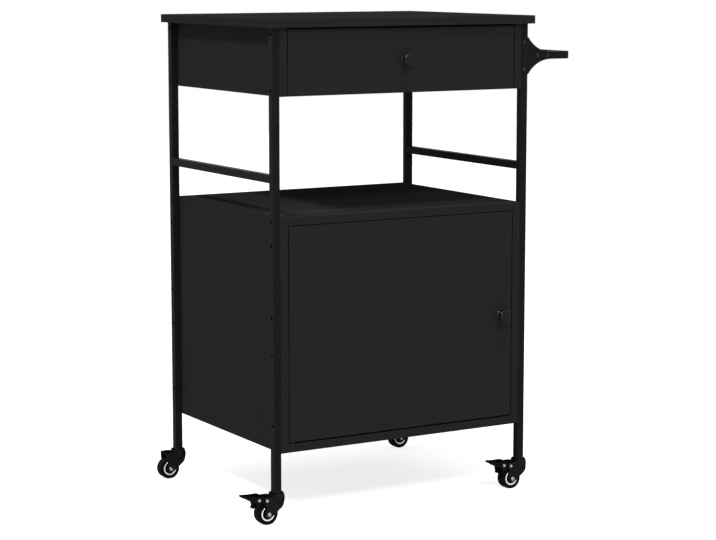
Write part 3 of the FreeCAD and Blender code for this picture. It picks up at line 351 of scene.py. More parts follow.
def frame_of(axis):
    """Two unit vectors square to an axis, and the axis itself."""
    axis = np.asarray(axis, float) / np.linalg.norm(axis)
    side = np.cross(axis, (0.0, 0.0, 1.0))
    if np.linalg.norm(side) < 1e-6:
        side = np.array((1.0, 0.0, 0.0))
    side = side / np.linalg.norm(side)
    return side, np.cross(axis, side), axis


def turned(profile, start, axis, steps, shape=None):
    """A lathe surface: point(i, t) = start + axis * h_i + r_i * (cos t * side + sin t * up).

    The profile is rows of (r, h). shape(r, h, t), if given, returns changed radius and height
    arrays of the whole grid, for recesses, flats and spokes.
    """
    profile = np.asarray(profile, float)
    t = np.linspace(0, 2 * math.pi, steps, endpoint=False)
    r, turn = np.meshgrid(profile[:, 0], t, indexing="ij")
    h = np.repeat(profile[:, 1:2], steps, 1)
    if shape is not None:
        r, h = shape(r, h, turn)
    side, up, axis = frame_of(axis)
    points = (np.asarray(start, float) + h[..., None] * axis
              + (r * np.cos(turn))[..., None] * side + (r * np.sin(turn))[..., None] * up)
    return points.reshape(-1, 3), grid_quads(len(profile), steps, wrap=True)


def smooth_step(edge0, edge1, x):
    """0 below one edge, 1 above the other, and a cubic between."""
    t = np.clip((x - edge0) / (edge1 - edge0), 0, 1)
    return t * t * (3 - 2 * t)


def dome(radius, height, count):
    """A quarter ellipse of (r, h) rows from a dome's top on the axis out to its rim."""
    t = np.linspace(0, math.pi / 2, count)
    return np.stack([radius * np.sin(t), height * (1 - np.cos(t))], -1)


def cross_recess(reach, width, depth, face_r, face_h):
    """A shape for turned(): sinks a cross into a head's face, the part inside a radius and
    below a height.

    The cross is the nearer of |x| and |y| under half its width, faded out at its reach and
    tapered in depth from the middle outwards.
    """
    def shape(r, h, turn):
        arm = np.minimum(np.abs(r * np.cos(turn)), np.abs(r * np.sin(turn)))
        inside = 1 - smooth_step(width * 0.35, width * 0.65, arm)
        inside = inside * (1 - smooth_step(reach * 0.82, reach, r))
        on_face = (r <= face_r) & (h < face_h)
        return r, h + np.where(on_face, inside * depth * (1 - 0.45 * r / reach), 0.0)
    return shape


# ---- shader arithmetic ----
def arithmetic(operation, swapped=False):
    """A method of Value that adds one Math node; swapped for the reflected form, as in 1 - mask."""
    def method(self, other):
        return self.math(operation, *((other, self) if swapped else (self, other)))
    return method


class Value:
    """A number that varies over a surface: Python arithmetic on it adds Math nodes."""

    def __init__(self, nodes, socket):
        self.nodes = nodes
        self.socket = socket

    def math(self, operation, *inputs):
        """The result of one Math node."""
        made = self.nodes.node("ShaderNodeMath", {"operation": operation}, dict(enumerate(inputs)))
        return Value(self.nodes, made.outputs[0])

    __add__ = arithmetic("ADD")
    __radd__ = arithmetic("ADD", swapped=True)
    __sub__ = arithmetic("SUBTRACT")
    __rsub__ = arithmetic("SUBTRACT", swapped=True)
    __mul__ = arithmetic("MULTIPLY")
    __rmul__ = arithmetic("MULTIPLY", swapped=True)
    least = arithmetic("MINIMUM")
    most = arithmetic("MAXIMUM")

    def size(self):
        """The number without its sign."""
        return self.math("ABSOLUTE", self)

    def rise(self, low, high):
        """0 at low, 1 at high, smooth between."""
        made = self.nodes.node("ShaderNodeMapRange", {"interpolation_type": "SMOOTHSTEP"},
                               {"Value": self, "From Min": low, "From Max": high})
        return Value(self.nodes, made.outputs[0])


class Nodes:
    """The emptied node tree of a material or world, and the one method that adds to it."""

    def __init__(self, owner):
        owner.use_nodes = True
        self.tree = owner.node_tree
        self.tree.nodes.clear()

    def feed(self, socket, value):
        """Link a value or socket into a socket, or set a constant there."""
        if isinstance(value, Value):
            self.tree.links.new(value.socket, socket)
        elif isinstance(value, bpy.types.NodeSocket):
            self.tree.links.new(value, socket)
        else:
            socket.default_value = value

    def node(self, kind, settings=None, sockets=None):
        """Add a node: its settings first, then its sockets' values or links."""
        made = self.tree.nodes.new(kind)
        for key, value in (settings or {}).items():
            setattr(made, key, value)
        for key, value in (sockets or {}).items():
            self.feed(made.inputs[key], value)
        return made


class Finish(Nodes):
    """A material in the making: one Principled shader and the nodes that feed it.

    Its place and normal are the point on the surface and the direction that it faces, both in
    the piece's own coordinates.
    """

    def __init__(self, name):
        self.material = bpy.data.materials.new(name)
        super().__init__(self.material)
        self.output = self.node("ShaderNodeOutputMaterial")
        self.shader = self.node("ShaderNodeBsdfPrincipled")
        self.feed(self.output.inputs[0], self.shader.outputs[0])
        where = self.node("ShaderNodeTexCoord").outputs
        self.place = where["Object"]
        self.normal = where["Normal"]

    def axis(self, index, place=None):
        """One coordinate of the place on the piece, or of another vector."""
        made = self.node("ShaderNodeSeparateXYZ", None, {0: place or self.place})
        return Value(self, made.outputs[index])

    def stretch(self, scale):
        """The place scaled along each axis."""
        return self.node("ShaderNodeMapping", None, {"Vector": self.place, "Scale": scale}).outputs[0]

    def noise(self, spacing, detail=3.0, roughness=0.6, place=None):
        """Soft noise from 0 to 1 with features of about a spacing in metres."""
        made = self.node("ShaderNodeTexNoise", None, {"Vector": place or self.place, "Scale": 1.0 / spacing,
                                                      "Detail": detail, "Roughness": roughness})
        return Value(self, made.outputs[0])

    def cells(self, spacing, output="Distance"):
        """Distance to scattered points, or another output, in cells of a spacing."""
        made = self.node("ShaderNodeTexVoronoi", None, {"Vector": self.place, "Scale": 1.0 / spacing})
        return Value(self, made.outputs[output])

    def mix(self, amount, first, second):
        """One colour into another by an amount from 0 to 1."""
        made = self.node("ShaderNodeMix", {"data_type": "RGBA"}, {0: amount, 6: first, 7: second})
        return made.outputs[2]

    def bump(self, height, distance, strength):
        """A Bump node from a height of 0 to 1 times a distance in metres."""
        return self.node("ShaderNodeBump", None, {"Height": height, "Distance": distance,
                                                  "Strength": strength}).outputs[0]

    def set(self, **inputs):
        """Set or link the shader's inputs, named with underscores for spaces; gives the material."""
        for key, value in inputs.items():
            self.feed(self.shader.inputs[key.replace("_", " ")], value)
        return self.material


def tone(colour, factor=1.0):
    """A colour times a factor, as four numbers."""
    return tuple(min(1.0, c * factor) for c in colour[:3]) + (1.0,)


MADE = {}


def finish(name, build, *looks):
    """A finish by name, built once from its looks."""
    if name not in MADE:
        MADE[name] = build(name, *looks)
    return MADE[name]


# ---- finishes ----
def edge_distance(f, box):
    """Distance from the nearest edge of a box-shaped board: the middle one of the three
    distances to its faces, which is small only near an edge."""
    x, y, z = [(f.axis(i) - float(box.low[i])).least(float(box.high[i]) - f.axis(i)).size()
               for i in range(3)]
    return x + y + z - x.least(y).least(z) - x.most(y).most(z)


def board_finish(name, box, face, band, roughness, pore, relief):
    """Faced board: fine closed pores, faint clouding, banded edges that are a shade darker, and a thin
    lighter line painted where the band meets the facing, a painted highlight along the edges broken up by
    noise."""
    f = Finish(name)
    cloud = f.noise(0.11, roughness=0.55)
    speck = f.noise(pore * 1.7, 2.0)
    pores = f.cells(pore)
    near = edge_distance(f, box)
    thin = int(np.argmin(box.span))
    banded = 1.0 - f.axis(thin, f.normal).size().rise(0.35, 0.65)
    colour = f.mix(cloud.rise(0.3, 0.7) * 0.5, tone(face, 0.96), tone(face, 1.04))
    colour = f.mix(banded, colour, tone(band))
    colour = f.mix(speck.rise(0.55, 0.8) * 0.10, colour, tone(face, 1.8))
    # Painted highlight: a line within about a millimetre of every edge is painted lighter.
    painted_edge_highlight = (1.0 - near.rise(0.0003, 0.0010)) * (0.35 + 0.65 * f.noise(0.006, 2.0, 0.5).rise(0.35, 0.65))
    colour = f.mix(painted_edge_highlight * 0.35, colour, tone(face, 1.55))
    rough = roughness + 0.10 * (cloud - 0.5) + 0.06 * (speck - 0.5) - 0.06 * banded
    bump = f.bump(pores.rise(0.05, 0.6) + 0.4 * speck, relief, 0.5)
    return f.set(Base_Color=colour, Roughness=rough, Normal=bump, Specular_IOR_Level=0.0)


def hardboard_finish(name, face):
    """Painted hardboard: fibres pressed flat, short streaks both ways under thin paint."""
    f = Finish(name)
    fibres = f.noise(0.0012, place=f.stretch((0.25, 1.0, 1.0)))
    cross = f.noise(0.0012, place=f.stretch((1.0, 1.0, 0.25)))
    web = fibres.most(cross)
    cloud = f.noise(0.05)
    colour = f.mix(web.rise(0.45, 0.75) * 0.4, tone(face, 0.85), tone(face, 1.35))
    colour = f.mix(cloud.rise(0.35, 0.75) * 0.25, colour, tone(face, 0.8))
    return f.set(Base_Color=colour, Roughness=0.62 + 0.12 * web, Normal=f.bump(web, 0.00005, 0.6),
                 Specular_IOR_Level=0.10)


def drawer_box_finish(name, face):
    """Drawer box boards: facing on the broad sides, with fine specks and a duller sheen."""
    f = Finish(name)
    cloud = f.noise(0.07)
    speck = f.noise(0.0014, roughness=0.65)
    colour = f.mix(cloud.rise(0.3, 0.7) * 0.5, tone(face, 0.9), tone(face, 1.1))
    colour = f.mix(speck.rise(0.6, 0.8) * 0.15, colour, tone(face, 2.0))
    return f.set(Base_Color=colour, Roughness=0.55 + 0.1 * speck, Normal=f.bump(speck, 0.00003, 0.5),
                 Specular_IOR_Level=0.0)


def coat_finish(name, colour, roughness, peel, shine=0.015):
    """Powder coat on steel: ripples of orange peel, scattered pits, and dust in the hollows."""
    f = Finish(name)
    ripple = f.noise(peel, 2.0, 0.45)
    pits = f.cells(peel * 5.0)
    cloud = f.noise(0.04)
    base = f.mix(cloud.rise(0.35, 0.7) * 0.5, tone(colour, 0.9), tone(colour, 1.12))
    base = f.mix((1.0 - pits.rise(0.04, 0.12)) * 0.3, base, tone(colour, 1.8))
    return f.set(Base_Color=base, Roughness=roughness + 0.10 * (ripple - 0.5) + 0.05 * (cloud - 0.5),
                 Normal=f.bump(ripple + 0.3 * pits.rise(0.02, 0.2), 0.00004, 0.35), Specular_IOR_Level=shine)


def plastic_finish(name, colour, roughness, grain, specular=0.3, broad=None, polish=0.12):
    """Moulded plastic: fine spark-eroded grain with smoother, slightly brighter rubbed places.

    Where a broad axis is given, the faces square to it keep the colour. The others are painted darker, a
    painted shade standing in for the dark they reflect at rims and tops, dull where they look up or polished
    where they don't.
    """
    f = Finish(name)
    fine = f.noise(grain, 2.0)
    rub = f.noise(0.007, roughness=0.55)
    base = f.mix(rub.rise(0.4, 0.7) * 0.4, tone(colour, 0.9), tone(colour, 1.35))
    rough = roughness + 0.12 * (fine - 0.5) - 0.08 * rub.rise(0.5, 0.8)
    if broad is not None:
        flat = f.axis(broad, f.normal).size().rise(0.72, 0.98)
        level = f.axis(2, f.normal).rise(0.85, 0.98)
        # Painted shade: the faces that are not broad, at rims and tops, are painted near-black.
        base = f.mix(flat, tone(colour, 0.15), base)
        f.set(Coat_Weight=polish * (1.0 - flat) * (1.0 - level), Coat_Roughness=0.2)
        rough = rough + 0.3 * level
    return f.set(Base_Color=base, Roughness=rough, Normal=f.bump(fine, 0.00003, 0.25),
                 Specular_IOR_Level=specular)


def rubber_finish(name, colour):
    """Tread rubber: matt, with a faint moulding grain, scuffs and dust picked up from floors."""
    f = Finish(name)
    grain = f.noise(0.0006)
    scuff = f.noise(0.0032, 4.0, 0.65)
    dust = f.noise(0.011)
    base = f.mix(scuff.rise(0.5, 0.75) * 0.35, tone(colour, 0.9), tone(colour, 2.0))
    base = f.mix(dust.rise(0.55, 0.8) * 0.15, base, (0.03, 0.028, 0.026, 1.0))
    return f.set(Base_Color=base, Roughness=0.50 + 0.18 * scuff,
                 Normal=f.bump(grain + 0.5 * scuff, 0.00006, 0.5), Specular_IOR_Level=0.03)


def bright_finish(name, colour, roughness, rim=None):
    """Bright plated metal: faint polishing marks, fingered clouding and a few tiny pits.

    A rim, if given, is where on the crown attribute the colour goes from a rim painted dark to the bright
    plate: painted shade round the crown.
    """
    f = Finish(name)
    marks = f.noise(0.0007)
    cloud = f.noise(0.006)
    pits = f.cells(0.0035)
    base = f.mix(cloud.rise(0.4, 0.75) * 0.3, tone(colour), tone(colour, 0.86))
    base = f.mix((1.0 - pits.rise(0.03, 0.09)) * 0.4, base, tone(colour, 0.5))
    if rim is not None:
        crown = Value(f, f.node("ShaderNodeAttribute", {"attribute_name": "crown"}).outputs["Fac"])
        # Painted shade: towards a head's rim the plate is painted nearly black.
        base = f.mix((1.0 - crown.rise(*rim)) * 0.9, base, tone(colour, 0.08))
    return f.set(Base_Color=base, Metallic=1.0, Roughness=roughness + 0.08 * (cloud - 0.4),
                 Normal=f.bump(marks, 0.00001, 0.3))


def black_zinc_finish(name):
    """Black passivated screws and pins."""
    return coat_finish(name, (0.016, 0.016, 0.016), 0.26, 0.0007, 0.30)


def bolt_finish(name):
    """Bright bolts and rivets: polished crowns over rims painted dark, a painted shade that leaves only the
    crown bright.
    """
    return bright_finish(name, (0.50, 0.50, 0.50), 0.22, rim=(0.12, 0.42))


def catch_finish(name):
    """Dull black plastic of the door catch and the caster sockets."""
    return plastic_finish(name, (0.015, 0.015, 0.015), 0.45, 0.0006)


def zinc_finish(name, colour):
    """Zinc plate: soft spangle of cells, each a little lighter or darker, and dull handling marks."""
    f = Finish(name)
    spangle = f.axis(0, f.cells(0.0025, "Color"))
    cloud = f.noise(0.009)
    base = f.mix(spangle * 0.35, tone(colour, 0.85), tone(colour, 1.1))
    base = f.mix(cloud.rise(0.5, 0.8) * 0.3, base, tone(colour, 0.6))
    return f.set(Base_Color=base, Metallic=1.0, Roughness=0.30 + 0.15 * cloud + 0.06 * spangle,
                 Normal=f.bump(f.noise(0.0008, 2.0, 0.5), 0.00002, 0.4))


def nylon_finish(name):
    """White nylon rollers: faintly cloudy, with darker rolling marks."""
    f = Finish(name)
    cloud = f.noise(0.004)
    mark = f.noise(0.0015, place=f.stretch((0.2, 1.0, 1.0)))
    base = f.mix(cloud.rise(0.4, 0.7) * 0.4, (0.72, 0.71, 0.68, 1.0), (0.60, 0.59, 0.56, 1.0))
    base = f.mix(mark.rise(0.6, 0.8) * 0.25, base, (0.3, 0.29, 0.28, 1.0))
    return f.set(Base_Color=base, Roughness=0.38 + 0.15 * cloud, Normal=f.bump(mark, 0.00002, 0.4),
                 Specular_IOR_Level=0.5)


def dress(material, *nodes):
    """Give kept nodes their finish."""
    for node in nodes:
        mesh = NODES[node].data
        mesh.materials.clear()
        mesh.materials.append(material)


# ---- operators ----
class StandOperator(bpy.types.Operator):
    """Shared base of the stand's operators."""
    bl_options = {"REGISTER", "UNDO"}


class STAND_OT_stage(StandOperator):
    """Lay the floor, set the soft light and place the camera"""
    bl_idname = "stand.stage"
    bl_label = "Stage"

    def execute(self, context):
        s = context.scene.stand_stage
        self.floor(s)
        self.sky(context.scene, s)
        self.lamps(s)
        self.camera(context.scene, s)
        return {"FINISHED"}

    def floor(self, s):
        """A flat square whose plain pale face shows white to the camera but for a contact shadow."""
        reach = 8.0
        lines = 9
        lift = 0.75
        side = np.linspace(-reach, reach, lines)
        x, y = np.meshgrid(side, side, indexing="ij")
        points = np.stack([x, y, np.zeros_like(x)], -1).reshape(-1, 3)
        mesh = bpy.data.meshes.new("floor")
        mesh.from_pydata(points.tolist(), [], grid_quads(lines, lines)[:, ::-1].tolist())
        f = Finish("floor_paint")
        dust = f.noise(0.4, roughness=0.5)
        f.set(Base_Color=f.mix(dust * 0.2, tone(s.floor), tone(s.floor, 0.97)), Roughness=0.85,
              Specular_IOR_Level=0.0)
        seen = Value(f, f.node("ShaderNodeLightPath").outputs["Is Camera Ray"])
        glow = f.node("ShaderNodeEmission", None, {"Strength": seen * lift})
        both = f.node("ShaderNodeAddShader", None, {0: f.shader.outputs[0], 1: glow.outputs[0]})
        f.feed(f.output.inputs[0], both.outputs[0])
        mesh.materials.append(f.material)
        floor = bpy.data.objects.new("floor", mesh)
        bpy.context.scene.collection.objects.link(floor)

    def sky(self, scene, s):
        """White for the camera and in reflections; for soft light, brighter above and in front.

        The soft light's strength goes evenly with the cosine of the angle from its brightest side.
        """
        dim = 0.7 * s.sky
        bright = 1.5 * s.sky
        brightest = Vector((-0.28, -0.72, 0.64)).normalized()
        world = bpy.data.worlds.new("studio")
        scene.world = world
        w = Nodes(world)
        path = w.node("ShaderNodeLightPath").outputs
        seen = Value(w, path["Is Camera Ray"]).most(path["Is Glossy Ray"]).most(path["Is Transmission Ray"])
        toward = w.node("ShaderNodeVectorMath", {"operation": "DOT_PRODUCT"},
                        {0: w.node("ShaderNodeTexCoord").outputs["Generated"], 1: brightest})
        ramp = w.node("ShaderNodeMapRange", None, {
            "Value": toward.outputs["Value"], "From Min": -1.0, "From Max": 1.0,
            "To Min": dim, "To Max": bright})
        soft = w.node("ShaderNodeBackground", None, {"Strength": ramp.outputs[0]})
        white = w.node("ShaderNodeBackground", None, {"Color": (1, 1, 1, 1), "Strength": 1.0})
        pick = w.node("ShaderNodeMixShader", None, {0: seen, 1: soft.outputs[0], 2: white.outputs[0]})
        w.node("ShaderNodeOutputWorld", None, {0: pick.outputs[0]})

    def lamps(self, s):
        """The main light from the upper left, a weaker one in front, and a small one above for glints."""
        middle = Vector((0.0, 0.0, 0.5))
        for name, place, width, power in (
            ("key_light", (-4.6, -0.6, 6.5), 1.0, s.key),
            ("front_light", (-0.9, -4.0, 3.9), 1.0, s.key * 0.26),
            ("top_light", (0.1, -1.5, 4.2), 0.09, s.key * 0.13),
        ):
            lamp = bpy.data.lights.new(name, "AREA")
            lamp.shape = "DISK"
            lamp.size = width
            lamp.energy = power
            holder = bpy.data.objects.new(name, lamp)
            holder.location = place
            holder.rotation_mode = "QUATERNION"
            holder.rotation_quaternion = (middle - Vector(place)).to_track_quat("-Z", "Y")
            bpy.context.scene.collection.objects.link(holder)

    def camera(self, scene, s):
        """The camera stands off the front left post's foot and looks ahead, right and a little down."""
        corner = node_box("post_front_left").low
        foot = Vector((corner[0], corner[1], 0.0))
        lens = bpy.data.cameras.new("camera")
        lens.lens = s.lens
        lens.sensor_width = 36.0
        holder = bpy.data.objects.new("camera", lens)
        holder.location = foot + Vector(s.offset)
        ahead = Vector((math.sin(s.heading) * math.cos(s.tilt), math.cos(s.heading) * math.cos(s.tilt),
                        -math.sin(s.tilt)))
        holder.rotation_mode = "QUATERNION"
        holder.rotation_quaternion = ahead.to_track_quat("-Z", "Y")
        lens.clip_start = 0.05
        lens.clip_end = 100.0
        scene.collection.objects.link(holder)
        scene.camera = holder
        scene.view_settings.view_transform = "Standard"


class STAND_OT_boards(StandOperator):
    """Face the boards and paint the hardboard"""
    bl_idname = "stand.boards"
    bl_label = "Boards"

    def execute(self, context):
        s = context.scene.stand_boards
        for node in ("tabletop", "shelf_panel", "cabinet_bottom", "cabinet_side_left", "cabinet_side_right",
                     "housing_side_left", "housing_side_right", "housing_back", "door_panel", "drawer_front"):
            # The shelf's lighter facing is painted light, not a different board.
            face = s.shelf if node == "shelf_panel" else s.face
            dress(board_finish(node + "_facing", node_box(node), face, s.band, s.roughness, s.pore,
                               s.relief), node)
        dress(finish("drawer_box_facing", drawer_box_finish, s.face),
              "drawer_side_left", "drawer_side_right", "drawer_back")
        dress(finish("painted_hardboard", hardboard_finish, s.hardboard), "cabinet_back", "drawer_bottom")
        return {"FINISHED"}


class STAND_OT_tubes(StandOperator):
    """Powder coat the posts, rails, handle and brackets"""
    bl_idname = "stand.tubes"
    bl_label = "Tubes and handle"

    def execute(self, context):
        s = context.scene.stand_steel
        coat = finish("powder_coat", coat_finish, s.coat, s.coat_roughness, s.peel)
        posts = ["post_" + corner for corner in CORNERS]
        dress(coat, *posts, "side_rail_left", "side_rail_right", "handle_bar")
        for end in ("front", "back"):
            softened("handle_plate_" + end, "handle_bracket_" + end, coat, "cart", s.soften)
        return {"FINISHED"}


class STAND_OT_knobs(StandOperator):
    """Turn the two knobs"""
    bl_idname = "stand.knobs"
    bl_label = "Knobs"

    def execute(self, context):
        s = context.scene.stand_knobs
        look = finish("knob_satin", plastic_finish, s.colour, 0.24, 0.0008, 0.06, 1, 0.5)
        for node, body in (("door_knob", "door"), ("drawer_knob", "drawer")):
            new_piece(node + "_turned", self.surface(node, s), look, body, (node,), 50.0)
        return {"FINISHED"}

    def surface(self, node, s):
        """A lathe profile: foot, waist, undercut, rounded rim and a shallow dish, with a blind hole
        up the back for its screw. It is drawn in millimetres and scaled to the node's box."""
        drawn_r = 12.5
        drawn_l = 22.0
        box = node_box(node)
        k = box.span[0] / 2 / drawn_r
        profile = [(0, 9.0), (2.0, 9.0), (2.0, 0), (7.4, 0), (8.0, 0.5), (8.0, 1.5), (5.6, 4.0), (5.5, 10.5),
                   (10.0, 13.0), (drawn_r, 15.4), (drawn_r, drawn_l), (4.0, 21.75), (0, 21.72)]
        radii = [0, 0, 0.2, 0.3, 0.3, 0.6, 3.0, 2.2, 2.0, 2.0, s.rim / MM, 3.0, 0]
        path = rounded_path(profile, radii) * k
        path[:, 1] *= box.span[1] / (drawn_l * k)
        return turned(path, box.face(1, 1), -AXES[1], s.steps)


def pan_screw(start, axis, shank, head_r, head_h, shank_r):
    """A pan-head screw: a domed head with a sunk cross, and a shank with shallow rolled rings.

    The head's face is a fine grid of radii so that the cross has clean walls; the thread is a
    ripple of the shank's radius along its length.
    """
    pitch = 0.5 * MM
    face_r = head_r * 0.72
    face = [(r, -head_h) for r in np.linspace(0, face_r, 12)]
    rim = rounded_path([(face_r, -head_h), (head_r * 0.98, -head_h * 0.55), (head_r, 0), (shank_r, 0)],
                       [0, head_r * 0.2, head_r * 0.03, 0], 4)
    along = np.arange(0, shank, pitch)
    valley = (along > shank * 0.12) & (np.arange(len(along)) % 2 == 1)
    thread = np.stack([shank_r * np.where(valley, 0.84, 1.0), along], -1)
    profile = np.concatenate([face, rim[1:], thread[1:], [(shank_r, shank), (0, shank)]])
    cross = cross_recess(head_r * 0.62, head_r * 0.30, head_h * 0.62, face_r * 1.001, -head_h * 0.98)
    return turned(profile, start, axis, steps=32, shape=cross)


class STAND_OT_screws(StandOperator):
    """Drive the screws of the posts, handle, knobs and drawer box"""
    bl_idname = "stand.screws"
    bl_label = "Screws"

    def execute(self, context):
        s = context.scene.stand_steel
        black = finish("black_zinc", black_zinc_finish)
        zinc = finish("zinc_plate", zinc_finish, s.plate)
        # Each node's finish, slot, body, and its screws' axis, or None where they lie differently.
        for node, look, slot, body, axis in (
            ("handle_screws", black, "black_screws", "cart", 1),
            ("post_screws", zinc, "zinc_steel", "cart", 0),
            ("drawer_screws", zinc, "zinc_steel", "drawer", None),
            ("door_screws", zinc, "zinc_steel", "door", None),
        ):
            surfaces = [self.inside(box) if axis is None else self.across(box, axis)
                        for box in loose_boxes(node)]
            new_piece(node + "_driven", join(surfaces), look, body, (node,))
        return {"FINISHED"}

    def across(self, box, axis):
        """A screw that lies along an axis, with its head on the outer side of the stand."""
        head_h = 1.8 * MM
        shank_r = 2.0 * MM
        side = 1.0 if box.middle[axis] > 0 else -1.0
        head_r = box.span[0 if axis else 1] / 2
        return pan_screw(box.face(axis, side, head_h), -side * AXES[axis], box.span[axis] - head_h,
                         head_r, head_h, shank_r)

    def inside(self, box):
        """A screw of the door or drawer: knob and strike screws go forwards, box screws go across."""
        if int(np.argmax(box.span)) == 0:
            return self.across(box, 0)
        knob_screw = box.span[1] > 20 * MM
        head_h, shank_r = (2.2 * MM, 2.0 * MM) if knob_screw else (0.5 * MM, 1.5 * MM)
        return pan_screw(box.face(1, 1, head_h), -AXES[1], box.span[1] - head_h, box.span[0] / 2,
                         head_h, shank_r)


class STAND_OT_cams(StandOperator):
    """Fit the cam locks and their bolts"""
    bl_idname = "stand.cams"
    bl_label = "Cam locks"

    def execute(self, context):
        s = context.scene.stand_steel
        look = finish("cam_zinc", zinc_finish, tone(s.plate, 0.8))
        surfaces = [surface for box in loose_boxes("cam_locks") for surface in self.fitting(box)]
        new_piece("cam_locks_fitted", join(surfaces), look, "cart", ("cam_locks",))
        return {"FINISHED"}

    def fitting(self, box):
        """A cam and its bolt: the bolt runs along the longest side, the drum lies across its end.

        The drum is on the side where most of the fitting's points are. Its open face looks into
        the cabinet, down, or back.
        """
        radius = 7.5 * MM
        overlap = 2.0 * MM
        bolt_from = 2 * radius - overlap
        along = int(np.argmax(box.span))
        through = min((axis for axis in range(3) if axis != along), key=lambda axis: box.span[axis])
        drum_side = 1.0 if box.lean[along] > 0 else -1.0
        drum = box.face(along, drum_side, radius)
        open_side = (1.0 if drum[0] < 0 else -1.0, 1.0, -1.0)[through]
        drum[through] = box.face(through, open_side)[through]
        bolt = self.bolt(box.face(along, drum_side, bolt_from), -drum_side * AXES[along],
                         box.span[along] - bolt_from)
        return [bolt, self.cam(drum, -open_side * AXES[through], radius, box.span[through])]

    def bolt(self, start, direction, length):
        """A rod with a slimmer waist and rounded ends."""
        radius = 3.0 * MM
        waist = radius * 0.72
        profile = [(0, 0), (radius, 0), (radius, length * 0.2), (waist, length * 0.27), (waist, length * 0.5),
                   (radius, length * 0.56), (radius, length), (0, length)]
        path = rounded_path(profile, [0, radius * 0.3, 0, 0, 0, 0, radius * 0.3, 0], 4)
        return turned(path, start, direction, steps=24)

    def cam(self, start, into, radius, depth):
        """A drum with a rim round its sunk face and a cross for the driver, on the open side."""
        sunk = 0.5 * MM
        r = np.linspace(0, radius * 0.78, 14)
        face = np.stack([r, np.full_like(r, sunk)], -1)
        rest = rounded_path([(radius * 0.80, sunk), (radius * 0.84, 0), (radius, 0), (radius, depth),
                             (0, depth)], [0, radius * 0.03, radius * 0.08, radius * 0.05, 0], 4)
        cross = cross_recess(radius * 0.66, radius * 0.26, 2.6 * MM, radius * 0.781, 1.2 * sunk)
        return turned(np.concatenate([face, rest]), start, into, steps=48, shape=cross)


class STAND_OT_runners(StandOperator):
    """Fold the runners and mould their rollers"""
    bl_idname = "stand.runners"
    bl_label = "Runners"

    def execute(self, context):
        s = context.scene.stand_steel
        steel = finish("runner_plate", coat_finish, (0.05, 0.05, 0.05), 0.34, 0.0009, 0.1)
        for node, body in (("runner_rails", "cart"), ("runner_sliders", "drawer")):
            softened(node + "_folded", node, steel, body, s.soften * 0.7, 2)
        nylon = finish("nylon", nylon_finish)
        for node in ("front_rollers", "rear_rollers"):
            surfaces = [self.roller(box) for box in loose_boxes(node)]
            new_piece(node + "_moulded", join(surfaces), nylon, node, (node,))
        return {"FINISHED"}

    def roller(self, box):
        """A bored roller: crowned tread, rounded shoulders and a sunk web on both faces."""
        bore = 2.05 * MM
        radius = box.span[2] / 2
        w = box.span[0]
        profile = [(bore, w / 2), (bore, 0), (bore * 1.9, 0), (bore * 2.1, w * 0.12),
                   (radius * 0.74, w * 0.12), (radius * 0.8, w * 0.02), (radius, w * 0.04),
                   (radius, w * 0.96), (radius * 0.8, w * 0.98), (radius * 0.74, w * 0.88),
                   (bore * 2.1, w * 0.88), (bore * 1.9, w), (bore, w), (bore, w / 2)]
        radii = [0, 0.1 * MM] + [0.35 * MM] * 10 + [0.1 * MM, 0]
        return turned(rounded_path(profile, radii, 3), box.face(0, -1), AXES[0], steps=64)


class STAND_OT_door_fittings(StandOperator):
    """Finish the door's pins, strike plate and magnetic catch"""
    bl_idname = "stand.door_fittings"
    bl_label = "Door fittings"

    def execute(self, context):
        s = context.scene.stand_steel
        zinc = finish("zinc_plate", zinc_finish, s.plate)
        softened("strike_plate", "door_strike_plate", zinc, "door", 0.25 * MM, 2)
        dress(finish("black_zinc", black_zinc_finish), "door_pivot_pins")
        black = finish("catch_plastic", catch_finish)
        softened("magnet_catch", "door_catch", black, "cart", 0.4 * MM, 2)
        return {"FINISHED"}


class STAND_OT_forks(StandOperator):
    """Mould the sockets and forks, and set the stems"""
    bl_idname = "stand.forks"
    bl_label = "Caster forks"

    def execute(self, context):
        s = context.scene.stand_casters
        look = finish("fork_moulding", plastic_finish, s.plastic, 0.4, 0.0007, 0.0, 1)
        for corner in CORNERS:
            softened("fork_moulded_" + corner, "caster_fork_" + corner, look, "swivel_" + corner,
                     s.soften)
            if corner not in BRAKED:
                new_piece("fork_plugs_" + corner, self.plugs(corner), look, "swivel_" + corner)
        dress(finish("catch_plastic", catch_finish), "caster_sockets")
        dress(finish("stem_plate", zinc_finish, (0.6, 0.6, 0.62)), "caster_stems")
        return {"FINISHED"}

    def plugs(self, corner):
        """Domed plugs that close a fork's two unused brake holes, which lie as the braked forks' do."""
        radius = 2.35 * MM
        rise = 0.5 * MM
        length = 2.1 * MM
        reach = 13.8 * MM
        hole = joint_place("brake_front_left") - joint_place("swivel_front_left")
        middle = joint_place("swivel_" + corner) + hole
        face = dome(radius, rise, 8)
        profile = np.concatenate([face, face[::-1] * (1, -1) + (0, length)])
        return join([turned(profile, middle + side * reach * AXES[1], -side * AXES[1], steps=32)
                     for side in (-1, 1)])


